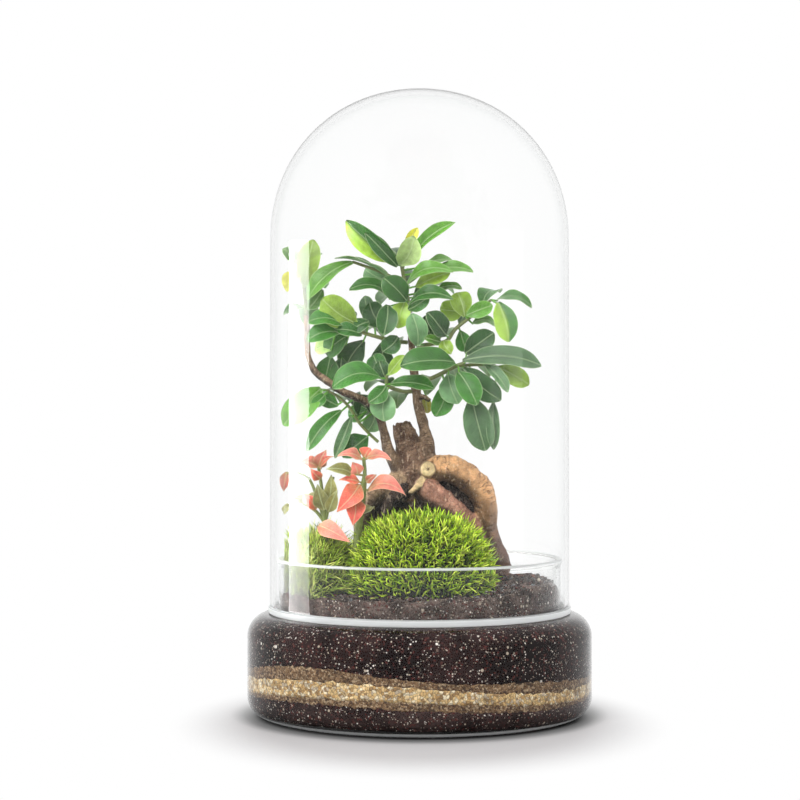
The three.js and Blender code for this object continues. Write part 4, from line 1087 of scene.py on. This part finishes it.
def trunk_piece(material):
    """The melted skin with bark's relief, the tints of each root, stem and cut, and painted shade beneath
    and on the right root's inner side
    """
    mesh = trunk_mesh()
    points = vertex_values(mesh, "co").astype(float) / MM
    normals = vertex_values(mesh, "normal")
    owner, along = nearest_line(points)
    lines = [line[0] for line in TRUNK_LINES]
    stump, right, stub, small_stub = (
        owner == lines.index(line) for line in (TRUNK_STUMP, ROOT_RIGHT, CUT_STUB, SMALL_STUB)
    )
    tints, smooth, depth = (np.array([line[column] for line in TRUNK_LINES])[owner] for column in (1, 2, 3))
    fissures = rough(points * (1, 1, 0.35), 3.2, 4, 1.3)
    lumps = rough(points, 9, 2, 7.7)
    rings = np.sin(along * 2.1 + 3 * lumps)
    points += normals * (depth * (0.9 * fissures + 0.12 * rings * smooth) + 0.4 * lumps)[:, None]
    jag = smoothstep(*JAG_HEIGHTS, points[:, 2]) * stump
    points[:, 2] -= jag * 4 * np.maximum(0, rough(points * (1, 1, 0.2), 2.2, 2, 4.4) + 0.15)
    end = np.array(CUT_STUB)[-1]
    disc = stub & (points[:, 1] < end[1] + 2)
    from_middle = np.linalg.norm(points[:, [0, 2]] - end[[0, 2]], axis=1)
    tints[stub & ~disc] = TAN_BARK
    tints[disc & (from_middle < 0.9)] = PITH
    foot = (smoothstep(*FOOT_HEIGHTS, points[:, 2] + 5 * lumps) * right)[:, None]
    tints = tints * (1 - foot) + np.array(ROOT_FOOT_BARK) * foot
    # Painted shade: darker where the skin faces down, and on the right root's side that faces the trunk
    under = smoothstep(0.15, -0.5, normals[:, 2])
    inside = smoothstep(-0.35, -0.9, normals[:, 0]) * right
    tints = tints * (1 - (np.maximum(0.85 * under, 0.7 * inside) * ~stub)[:, None])
    patches = smoothstep(0.15, 0.45, rough(points, 4.5, 3, 9.1)) * ~stub
    tints = tints * (1 + 0.3 * patches[:, None])
    faces = [np.array([p.vertices for p in mesh.polygons if len(p.vertices) == sides]) for sides in (3, 4)]
    barked = (~stub & ~small_stub).astype(float)
    skin = Skin()
    skin.add(
        points, [group for group in faces if len(group)],
        tint=tints, smooth=smooth, along=along, barked=barked,
    )
    add_rootlets(skin)
    return skin.piece("fig_trunk", material, "bark", "ficus_trunk")


# Leaves

# Half width along a blade, from its stalk to its tip
FIG_OUTLINE = (
    (0, 0.14), (0.1, 0.44), (0.28, 0.85), (0.5, 1.0), (0.7, 0.98), (0.86, 0.77), (0.95, 0.46), (1, 0.03),
)
CORAL_OUTLINE = ((0, 0.16), (0.12, 0.62), (0.3, 1.0), (0.5, 0.94), (0.7, 0.68), (0.88, 0.3), (1, 0.02))
LEAF_THICKNESS = 0.55
STALK_RADIUS = 0.55
ALONG_ROWS = 19
ACROSS_COLUMNS = 11
TWIG = (0.14, 0.17, 0.05)
OLIVE_TWIG = (0.16, 0.2, 0.05)

# Twigs and stalks have no ribs, veins or underside
PLAIN = dict(from_rib=2.0, to_edge=2.0, reach=0.0, under=0.0)

# Tints of leaves: dark, middling, fresh, light, pale, yellow, grey-green, coral, pink and olive
TINTS = {
    "d": (0.022, 0.1, 0.012),
    "m": (0.038, 0.165, 0.016),
    "f": (0.1, 0.28, 0.025),
    "l": (0.3, 0.48, 0.05),
    "p": (0.45, 0.62, 0.22),
    "y": (0.6, 0.58, 0.08),
    "g": (0.12, 0.25, 0.1),
    "c": (0.8, 0.11, 0.07),
    "k": (0.86, 0.21, 0.15),
    "o": (0.24, 0.22, 0.05),
}


def nearest_on_twigs(twigs, place):
    line = np.concatenate([curve_points(twig, 40)[:, :3] for twig in twigs])
    return line[np.argmin(np.linalg.norm(line - place, axis=1))]


def outline_at(outline, share):
    """Half width at shares of the length, with the outline's corners eased"""
    shares, halves = np.array(outline).T
    before, at, after = (np.interp(share + step, shares, halves) for step in (-0.04, 0.0, 0.04))
    return (at * 2 + before + after) / 4


def blade_faces():
    """Faces of a leaf's upper and lower side, and of the rim between them"""
    rows, columns = ALONG_ROWS, ACROSS_COLUMNS
    count = rows * columns
    quads = lattice(rows, columns, wrap=False)
    ring = np.concatenate([
        np.arange(columns), columns * np.arange(1, rows) + columns - 1,
        count - 2 - np.arange(columns - 1), columns * np.arange(rows - 2, 0, -1),
    ])
    following = np.roll(ring, -1)
    rim = np.stack([following, ring, ring + count, following + count], -1)
    return [quads[:, ::-1], quads + count, rim]


BLADE_FACES = blade_faces()


def add_leaf(skin, row, spray, kind, draw):
    """A stalk and a thin blade, arched, folded and waved, with its place from rib and edge"""
    base, tip = np.array(row[:3], float), np.array(row[3:6], float)
    width, look, bow = row[6:9]
    fold = math.radians(row[9] if len(row) > 9 else spray["fold"])
    length = np.linalg.norm(tip - base)
    axis = (tip - base) / length
    turn = math.radians(look)
    face = np.array([0, -math.sin(turn), math.cos(turn)])
    face = unit(face - axis * np.dot(face, axis))
    side = np.cross(axis, face)
    share = np.linspace(0, 1, ALONG_ROWS) ** 0.92
    across = np.sin(np.linspace(-math.pi / 2, math.pi / 2, ACROSS_COLUMNS))
    t, v = share[:, None], across[None]
    even = np.ones((ALONG_ROWS, ACROSS_COLUMNS))
    half = outline_at(spray["outline"], share)[:, None] * width / 2
    phase, curl = draw.uniform(0, TURN), draw.uniform(0.4, 1.3)
    lift = half * np.abs(v) ** 1.25 * math.sin(fold)
    lift = lift + spray["wave"] * v**2 * np.sign(v) * np.sin(TURN * t * 1.6 + phase)
    height = 4 * bow * length * t * (1 - t) - curl * t**6 * 1.6 + lift
    sway = draw.uniform(-0.5, 0.5) * width * 0.25 * np.sin(math.pi * t)
    middle = base + axis * (length * t)[..., None] + face * height[..., None]
    surface = middle + side * (half * v * math.cos(fold) + sway)[..., None]
    thick = face * (LEAF_THICKNESS / 2 * (1 - 0.55 * np.abs(v)) * even)[..., None]
    # A leaf of two kinds takes one tint on each half of its fold: painted light on the lighter half, painted
    # shade on the darker
    tint = np.where((v * even)[..., None] < 0, TINTS[kind[0]], TINTS[kind[-1]]) * draw.uniform(0.55, 1.2)
    tint = tint * (0.72 + 0.34 * v**2 + 0.3 * t)[..., None]
    stalk_tint = np.array(TINTS["f"]) * 1.2
    if spray["outline"] is CORAL_OUTLINE:
        olive = 0.6 * (1 - t[..., None]) ** 2
        tint = (tint * (1 - olive) + np.array(TINTS["o"]) * olive) * (1, 1.05, 1.2)
        stalk_tint = TINTS["o"]
    skin.add(
        np.concatenate([(surface + thick).reshape(-1, 3), (surface - thick).reshape(-1, 3)]), BLADE_FACES,
        tint=np.concatenate([tint.reshape(-1, 3)] * 2),
        from_rib=np.tile((np.abs(v) * half).ravel(), 2),
        to_edge=np.tile(((1 - np.abs(v)) * half).ravel(), 2),
        reach=np.tile((length * t * even).ravel(), 2),
        under=np.repeat([0.0, 1.0], even.size),
    )
    stalk = np.linspace(nearest_on_twigs(spray["twigs"], base), base + axis * length * 0.06, 5)
    radii = np.linspace(STALK_RADIUS * 1.1, STALK_RADIUS * 0.8, len(stalk))
    skin.add(*tube(stalk, radii, 7), tint=stalk_tint, **PLAIN)


def spray_piece(name, node, spray, material, slot, twig_tint, seed):
    skin = Skin()
    draw = np.random.default_rng(seed)
    kinds = spray["kinds"].split()
    for row, kind in zip(spray["leaves"], kinds, strict=True):
        add_leaf(skin, row, spray, kind, draw)
    for twig in spray["twigs"]:
        line = curve_points(twig, 8 * (len(twig) - 1))
        skin.add(*tube(line[:, :3], line[:, 3] * 0.95, 8), tint=twig_tint, **PLAIN)
    return skin.piece(name, material, slot, node)


# Leafy sprays. Twigs: x, y, z, radius. Leaves: base x, y, z, tip x, y, z, width, look, bow, and
# for some the fold. Kinds give each leaf's tint, and two letters a folded leaf of two tints, one per half:
# painted light and shade.

def fig_spray(kinds, twigs, leaves, wave=0.5):
    return dict(outline=FIG_OUTLINE, fold=16, wave=wave, kinds=kinds, twigs=twigs, leaves=leaves)


def coral_spray(kinds, twigs, leaves):
    return dict(outline=CORAL_OUTLINE, fold=18, wave=0.4, kinds=kinds, twigs=twigs, leaves=leaves)


SPRAY_TOP = fig_spray(
    "ld d p y f m f m m d f f f l f m m d d m m g l",
    [
        [(-5.1, 2, 215.4, 1.5), (-7, 1, 226, 1.3), (-9, 0, 238, 1.2), (-11, -1, 249, 1)],
        [(-8, 0.5, 231, 1.1), (-20, -1, 237, 1), (-36, -5, 242.5, 0.8)],
    ],
    [
        (-11, -2, 243, -39.5, -8, 264, 15, 115, 0.14, 30),
        (-12, -4, 240, -28.5, -14, 257, 9, 70, 0.1),
        (-10.5, -4, 241, -3, -14, 255, 14, 100, 0.05, 25),
        (-7, -1, 249, -1, -3, 261, 9, 100, 0.1, 50),
        (-6, -3, 243, 18.5, -8, 264, 9, 60, 0.08, 35),
        (-16, -2, 234, -45, -9, 245, 11, 8, 0.08),
        (-36, -6, 242, -60, -13, 222, 12, 40, 0.15),
        (-15, -5, 222, -37, -13, 228, 12, 40, 0.2),
        (-7, -8, 221.5, -19, -14, 233, 14, 95, 0.05),
        (-17, -9, 219, -19, -16, 203, 12, 95, 0.08),
        (-7, -5, 229, 17, -14, 237.5, 10, 50, 0.22),
        (6, -5, 238, 28.5, -10, 237.5, 9, 45, 0.08),
        (2, -1, 240, 18, -3, 244, 9, 30, 0.12),
        (-2, -6, 229, 16, -11, 236.5, 9, 75, 0.12),
        (9, -2, 227.5, 22.5, -4, 229.5, 6, 50, 0.1),
        (-6, -8, 218.5, 17, -16, 223, 10.5, 50, 0.2),
        (-6, -9, 216.5, 5, -15, 223.5, 8, 85, 0.08),
        (-8, 5, 230, 2, 28, 238, 14, 10, 0.15),
        (-9, 4, 240, -20, 25, 251, 13, 15, 0.15),
        (-6, 6, 223, -22, 27, 223, 14, 10, 0.15),
        (-3, 6, 224, 19, 21, 229, 13, 15, 0.18),
        (-15, 3, 232, -30, 8, 240, 12, 80, 0.05),
        (-8, -5, 221, -12, -7, 207, 12, 85, 0.06),
    ],
)
SPRAY_LEFT_MID = fig_spray(
    "l m m d d g d m d d m m d d p m d",
    [
        [
            (-6.7, 1, 199.4, 1.2), (-14, -3, 200, 1.2), (-26, -7, 203, 1.1),
            (-38, -9, 206.5, 1), (-46, -10, 208, 0.8),
        ],
    ],
    [
        (-34, -10, 209, -52, -15, 222, 17, 95, 0.06),
        (-41, -12, 208, -59, -18, 210, 12, 50, 0.15),
        (-43, -13, 204, -59.5, -19, 200, 11, 65, 0.12),
        (-31, -9, 203, -45, -15, 206, 9, 60, 0.12),
        (-27, -8, 210, -36, -11, 205, 8, 80, 0.05),
        (-24, 2, 208, -30, 5, 225, 9, 95, 0.05),
        (-19, -3, 207, -27, -1, 221, 13, 95, 0.06),
        (-38, -6, 203, -51, 1, 193, 13, 70, 0.1),
        (-30, -4, 200, -40, 4, 184, 15, 85, 0.1),
        (-20, -1, 199, -22, 8, 181, 14, 90, 0.1),
        (-20, 4, 203, -31, 25, 207, 14, 10, 0.15),
        (-36, 0, 208, -49, 22, 214, 14, 15, 0.15),
        (-12, 5, 200, -14, 27, 196, 13, 10, 0.15),
        (-11.5, -8, 202, -19.5, -10, 194.5, 11, 75, 0.06),
        (-42, 2, 199.5, -57, 4, 196, 12, 60, 0.1),
        (-48, -1, 192, -51.5, 2, 178, 13, 90, 0.06),
        (-42, 0, 191, -44, 3, 177, 12, 92, 0.06),
    ],
)
SPRAY_LEFT_TIP = fig_spray(
    "l f y f m m m d",
    [[(-61, -3.9, 214.4, 1.2), (-62, -3, 226, 1.1), (-64, -2, 238, 1), (-65.5, -2, 246, 0.8)]],
    [
        (-62, -5, 229, -57, -9, 254, 13, 72, 0.08),
        (-64.5, -3, 241, -73, -5, 250, 8, 60, 0.08),
        (-65, -5, 237, -71, -9, 227, 10, 80, 0.1),
        (-60, -6, 217, -52, -11, 227, 8, 80, 0.08),
        (-63, -3, 218, -74, 0, 215, 7, 50, 0.1),
        (-60.5, 1, 224, -52, 21, 232, 12, 10, 0.15),
        (-62.5, 1, 236, -57, 20, 249, 12, 15, 0.15),
        (-61.5, 1, 219, -63, 23, 211, 12, 10, 0.15),
    ],
    wave=0.4,
)
SPRAY_LEFT_LOW = fig_spray(
    "f m g d g m m m d d d",
    [
        [
            (-22.2, -1.6, 145.6, 0.9), (-27.5, -2, 150.5, 0.9), (-32.5, -2.3, 156, 0.9),
            (-38, -2.5, 164.5, 0.9), (-43, -2.5, 169.5, 0.8), (-50, -1.5, 173.5, 0.8),
        ],
    ],
    [
        (-53, -2, 174.5, -73, -8, 155, 16, 75, 0.12),
        (-42, -6, 162.5, -60, -16, 141.5, 9, 70, 0.15),
        (-36.7, -5, 159, -45, -14, 137.7, 8, 80, 0.08, 35),
        (-28, -4, 148.5, -41.5, -9, 138.5, 14, 60, 0.1),
        (-23.5, 3, 163, -28.5, 5, 151, 11, 95, 0.05),
        (-28, 3, 162.5, -39, 7, 161, 10, 80, 0.08),
        (-44, 1, 165, -54, 4, 170, 9, 80, 0.08),
        (-51, -4, 171, -57.5, -9, 165, 7, 75, 0.08),
        (-35, 2, 165, -43, 23, 169, 13, 10, 0.15),
        (-46, 2, 173, -57, 22, 167, 13, 10, 0.15),
        (-34, 3, 171, -27, 6, 161, 13, 85, 0.06),
    ],
    wave=0.4,
)
SPRAY_RIGHT = fig_spray(
    "l l f m ml d g d f l f m d m m",
    [
        [
            (-1.3, 1, 197.4, 1.3), (7, -3, 198.5, 1.3), (14.6, -6, 200, 1.2),
            (19, -6, 206, 1.1), (27, -6, 212.5, 1), (38.5, -6, 222, 0.8),
        ],
    ],
    [
        (25, -2, 218, 11, 0, 217.5, 12, 95, 0.06),
        (24.3, -7, 213, 20.5, -3, 226.5, 13, 105, 0.06, 25),
        (25, -9, 213.5, 39, -10, 219, 9, 90, 0.08),
        (41, -6, 221.6, 60, -10, 218.5, 9, 40, 0.25),
        (42, -9, 220.5, 47.5, -13, 199.5, 13.5, 92, 0.05, 22),
        (14, -9, 202.7, 5, -17, 214.6, 13, 60, 0.12),
        (-1, -8, 197, -4, -13, 214, 12, 95, 0.06),
        (8, -3, 201, 3, -5, 213.5, 11, 85, 0.06),
        (12, -8, 199, 3, -14, 201.5, 6, 70, 0.08),
        (13, -9, 200, 16.5, -14, 193.5, 8, 85, 0.1),
        (28, -4, 209, 41, -4, 209.5, 8, 40, 0.2),
        (9, 1, 200, 17, 23, 206, 14, 10, 0.15),
        (22, -1, 209, 33, 19, 216, 13, 15, 0.15),
        (34, -2, 219, 44, 14, 228, 12, 15, 0.15),
        (22, -3, 205.5, 26, 0, 194.5, 9.5, 95, 0.06),
    ],
)
SPRAY_RIGHT_LOW = fig_spray(
    "m g m m d g d l g g g d m m y",
    [
        [(0.9, 1, 177.6, 1.3), (9, -5, 181, 1.3), (20, -11, 186.5, 1.2), (24, -11.5, 187.8, 1.1)],
        [(20, -11, 186.5, 1), (33, -9, 187, 0.9), (42, -8, 186, 0.8)],
    ],
    [
        (18.7, -14, 188, -9.7, -26, 187, 17, 55, 0.12),
        (15, -13, 181.5, 20, -18, 166.5, 14, 90, 0.06),
        (20.6, -16, 183, 30, -24, 166, 13.5, 85, 0.08),
        (14.5, -9, 176, 8.5, -12, 159.5, 12, 90, 0.06),
        (23, -11, 185, 43, -15, 168, 14, 80, 0.1),
        (22.7, -14, 189, 65, -12, 187, 12.5, 65, 0.12),
        (24.3, -10, 193, 39.4, -13, 204, 13, 80, 0.08),
        (42, -7, 186, 58.5, -9, 176.4, 11, 95, 0.05),
        (34.6, -14, 187, 47, -19, 173, 8, 60, 0.08, 30),
        (27.7, -11, 170, 35, -13, 141.2, 16.5, 92, 0.08),
        (39.4, -8, 167, 39.4, -13, 142, 9, 75, 0.1, 35),
        (15, -4, 184, 20, 18, 178, 14, 10, 0.15),
        (27, -7, 188, 38, 12, 182, 13, 10, 0.15),
        (7, -1, 180, 4, 20, 173, 13, 10, 0.15),
        (3.5, 4, 171, 4.6, 5, 161, 6, 85, 0.06),
    ],
)
SPRAY_CENTRE = fig_spray(
    "m m m g l d d m d",
    [[(-4.6, -0.3, 172.8, 1.2), (-10, -8, 173, 1.2), (-17.5, -14, 176.5, 1.1), (-17.5, -14.5, 181.5, 0.9)]],
    [
        (-20.7, -16, 180, -46, -24, 175, 15, 55, 0.18),
        (-15.5, -16, 176.5, 7.5, -24, 174.5, 11, 45, 0.1),
        (-18, -17, 175.5, -26.7, -23, 167, 9.5, 85, 0.06),
        (-17.8, -16, 171.5, -18.9, -19, 157, 14.5, 95, 0.08),
        (-16.5, -16, 181.4, -8, -18, 191.7, 7, 90, 0.06),
        (-17.8, -13, 179, -21.6, -12, 189, 9, 90, 0.06),
        (-19, -11, 180, -25, -6, 193, 11, 95, 0.06),
        (-14, -8, 174.5, -29, 11, 175, 13, 10, 0.15),
        (-7, -5, 171, -12, 16, 166, 12, 10, 0.15),
    ],
)
CORAL_MAIN = coral_spray(
    "k c k c o k c c c k c k o",
    [
        [
            (-34, -38, 60, 2), (-33.6, -39, 85, 2.1), (-31.8, -40, 103, 2.2), (-30, -40, 119, 2.2),
            (-28.7, -40, 130, 1.1), (-29.3, -40, 138, 1),
        ],
    ],
    [
        (-30, -41, 137, -42.2, -45, 139.8, 8, 45, 0.12),
        (-29, -40, 138, -25.8, -38, 143.2, 9, 80, 0.08),
        (-28, -41, 137.6, -15, -43, 137.5, 8, 40, 0.12),
        (-29, -38, 138, -24, -28, 141, 8, 20, 0.15),
        (-35, -42, 129.6, -48, -47, 132.6, 8, 60, 0.15),
        (-32.5, -41, 129, -35, -42, 135.5, 8, 85, 0.08),
        (-31.5, -41, 125.5, -41, -45.5, 127.4, 6, 60, 0.12),
        (-31.3, -43, 124, -42.5, -50, 111, 12, 75, 0.15),
        (-33.6, -43, 117, -34.6, -48, 103.8, 11, 90, 0.1),
        (-26.9, -41, 121, -7.4, -44, 119, 12, 45, 0.4),
        (-28, -41, 125.3, -23, -43, 129.4, 5, 60, 0.08),
        (-31, -38, 118, -39, -28, 122, 9, 20, 0.15),
        (-30.5, -38, 108, -24, -29, 112, 8, 20, 0.15),
    ],
)
CORAL_LEFT = coral_spray(
    "k c k c c o o o o o k c c o",
    [
        [
            (-48, -35, 60, 1.5), (-49, -36, 92, 1.4), (-49.3, -37, 104, 1.3),
            (-50.5, -37, 118, 1), (-52.5, -38, 132.5, 0.9),
        ],
        [(-49.3, -37, 104, 1), (-53, -36, 116, 0.9), (-58, -33, 127, 0.8), (-64, -28, 130, 0.7)],
        [(-49.3, -37, 104, 1), (-54, -36, 110, 0.9), (-61, -32, 114, 0.8)],
        [(-49.3, -37, 104, 1), (-46.5, -38, 117, 0.9), (-45, -39, 128, 0.8)],
    ],
    [
        (-52.3, -38, 133, -48.9, -41, 141.5, 8, 85, 0.08),
        (-51.5, -39, 132, -45, -42, 139, 6, 40, 0.18),
        (-53, -38, 133, -62.5, -40, 136, 8, 50, 0.15),
        (-51.5, -39, 127, -56, -43, 132, 6, 85, 0.06),
        (-70.5, -15, 130, -72.3, -15, 119.5, 6, 80, 0.1),
        (-61.5, -31.5, 114, -66, -28, 118.5, 5, 60, 0.1),
        (-67.5, -20, 113, -73, -15, 107.5, 5, 60, 0.1),
        (-49.5, -40, 111, -53, -42, 124, 9, 90, 0.06),
        (-47.8, -40, 114, -46, -41.5, 129, 8, 90, 0.06),
        (-47.2, -41, 110, -43, -44, 121, 7, 85, 0.06),
        (-52.5, -41, 103, -36.4, -50, 95.4, 10, 75, 0.15),
        (-54, -38, 111, -60, -41, 119, 7, 60, 0.1),
        (-50.5, -34, 115, -50, -24, 121, 8, 15, 0.15),
        (-53, -34, 116, -60, -22, 117, 8, 15, 0.15),
    ],
)


# The stage: camera, floor, surroundings and lamps

def make_camera():
    data = bpy.data.cameras.new("camera")
    data.lens = CAMERA_LENS
    data.sensor_width = SENSOR_WIDTH
    camera = bpy.data.objects.new("camera", data)
    camera.location = Vector(CAMERA_PLACE) * MM
    camera.rotation_euler = (math.radians(90 + CAMERA_PITCH), 0, 0)
    bpy.context.scene.collection.objects.link(camera)
    bpy.context.scene.camera = camera


# The floor's painted shade, in metres: its middle, how it is narrowed across, and where it fades
SHADE_MIDDLE = (0, -0.03, 0)
SHADE_NARROWING = (1.25, 1.0, 1.0)
SHADE_FADE = ((0.1, 0.0), (0.165, 1.0))

# Painted shade on the floor by distance from the middle: grey round the part, and a painted contact shadow,
# nearly black, where the foot stands
FLOOR_SHADE_TONES = ((0.084, 0.015), (0.092, 0.15), (0.103, (0.39, 0.38, 0.385)))


def make_floor():
    """A white floor with painted shade under and round the part, that brightens by its own glow into the
    surroundings
    """
    bpy.ops.mesh.primitive_plane_add(size=8, location=(0, 0, 0))
    floor = bpy.context.object
    floor.name = "floor"
    paint = Paint("floor_painted_shade", 0.6, 0.2)
    from_middle = paint.node("ShaderNodeVectorMath", {0: paint.place}, operation="LENGTH").outputs["Value"]
    paint.drive("Base Color", paint.ramp(from_middle, *FLOOR_SHADE_TONES))
    shade = {0: paint.stretched(SHADE_NARROWING), 1: SHADE_MIDDLE}
    away = paint.node("ShaderNodeVectorMath", shade, operation="DISTANCE").outputs["Value"]
    glow = paint.node("ShaderNodeEmission", {"Color": (1, 1, 1, 1), "Strength": 1.0})
    paint.mix_surface(paint.ramp(away, *SHADE_FADE), glow)
    floor.data.materials.append(paint.material)


def make_surroundings():
    """Even white light all round"""
    world = bpy.data.worlds.new("surroundings")
    bpy.context.scene.world = world
    world.use_nodes = True
    world.node_tree.nodes["Background"].inputs["Color"].default_value = (1, 1, 1, 1)


def lamp(name, place, target, size, power, lit, diffuse=True):
    """A soft rectangular lamp facing a target, in metres, that lights only a collection"""
    data = bpy.data.lights.new(name, "AREA")
    data.shape = "RECTANGLE"
    data.size, data.size_y = size
    data.energy = power
    made = bpy.data.objects.new(name, data)
    made.location = place
    made.rotation_euler = (Vector(target) - Vector(place)).to_track_quat("-Z", "Y").to_euler()
    made.visible_camera = False
    made.visible_transmission = False
    made.visible_diffuse = diffuse
    made.light_linking.receiver_collection = lit
    bpy.context.scene.collection.objects.link(made)


def make_lamps():
    """Upright strips that only the dome mirrors, and soft lamps for all but the glass"""
    lit = bpy.data.collections.new("all_but_glass")
    dome = bpy.data.collections.new("dome_alone")
    for piece in bpy.context.scene.collection.objects:
        if piece.type == "MESH" and not piece.name.startswith("glass"):
            lit.objects.link(piece)
        if piece.name == "glass_dome":
            dome.objects.link(piece)
    lamp("strip_left", (-0.544, 0.083, 0.171), (-0.062, -0.05, 0.171), (0.242, 0.252), 5.4, dome, False)
    lamp("strip_left_low", (-0.544, 0.083, 0.023), (-0.062, -0.05, 0.023), (0.242, 0.044), 0.4, dome, False)
    lamp("strip_right", (0.48, -0.24, 0.175), (0.046, -0.065, 0.175), (0.27, 0.25), 0.7, dome, False)
    lamp("key", (-0.5, -0.9, 1.0), (0, 0, 0.15), (0.7, 0.7), 14, lit)
    lamp("top", (0.1, 0.1, 1.4), (0, 0, 0.2), (0.9, 0.9), 8, lit)


# The planting and the glass

# Tones of the grains of sand
BROWN_TONES = (
    (0.16, 0.085, 0.04), (0.24, 0.14, 0.07), (0.34, 0.21, 0.11), (0.09, 0.05, 0.03), (0.5, 0.36, 0.22),
)
PALE_TONES = (
    (0.7, 0.46, 0.2), (0.88, 0.66, 0.36), (0.55, 0.33, 0.13), (0.95, 0.82, 0.58), (0.36, 0.22, 0.1),
    (0.8, 0.56, 0.26), (0.62, 0.5, 0.36),
)


def make_layers():
    soil = soil_material("soil_damp", damp)
    brown = sand_material("sand_brown", 0.9, BROWN_TONES)
    pale = sand_material("sand_pale", 1.5, PALE_TONES)
    layer_piece("soil_bottom", FLOOR, BROWN_BOTTOM, soil, "dark_soil")
    layer_piece("sand_lower", BROWN_BOTTOM, PALE_BOTTOM, brown, "brown_sand")
    layer_piece("sand_pale", PALE_BOTTOM, PALE_TOP, pale, "pale_sand")
    layer_piece("sand_upper", PALE_TOP, BROWN_TOP, brown, "brown_sand")
    top_soil_piece(soil_material("soil_crumbled", crumbled))


def make_moss():
    material = moss_material()
    moss_piece("moss_cushion", "moss_main", MOSS_MAIN, "bright_moss", material)
    moss_piece("moss_tuft_left", "moss_left", MOSS_LEFT, "olive_moss", material)


def make_plants():
    trunk_piece(bark_material())
    leaf = leaf_material("fig_leaf", 0.34, (0.2, 0.36, 0.14), 0.55, 0.22)
    coral = leaf_material("coral_leaf", 0.5, (0.42, 0.3, 0.1), 0.6, 0.3)
    sprays = dict(
        top=SPRAY_TOP, left_mid=SPRAY_LEFT_MID, left_tip=SPRAY_LEFT_TIP, left_low=SPRAY_LEFT_LOW,
        right=SPRAY_RIGHT, right_low=SPRAY_RIGHT_LOW, centre=SPRAY_CENTRE,
    )
    for seed, (name, spray) in enumerate(sprays.items(), FIG_SEED):
        names = (f"fig_leaves_{name}", f"ficus_spray_{name}")
        spray_piece(*names, spray, leaf, "fig_leaf", TWIG, seed)
    for seed, (name, spray) in enumerate(dict(main=CORAL_MAIN, left=CORAL_LEFT).items(), CORAL_SEED):
        names = (f"coral_leaves_{name}", f"coral_plant_{name}")
        spray_piece(*names, spray, coral, "coral_leaf", OLIVE_TWIG, seed)


def make_glass():
    """The dome is made of thin clear glass that mirrors little, the dish of heavier glass"""
    pieces = (
        ("glass_dish", "base_dish", dish_profile(), glass_material("heavy_glass", 1.25, DISH_BRIGHT_BANDS, 0.5)),
        ("glass_dome", "dome", dome_profile(), glass_material("thin_glass", 1.22, DOME_BRIGHT_BANDS, 0.0)),
    )
    for name, node, profile, material in pieces:
        skin = Skin()
        skin.add(*lathe(profile, GLASS_SEGMENTS))
        skin.piece(name, material, "glass", node, sharp=40)


bpy.context.scene.view_settings.view_transform = "Standard"
make_camera()
make_floor()
make_surroundings()
make_glass()
make_layers()
make_moss()
make_plants()
make_lamps()
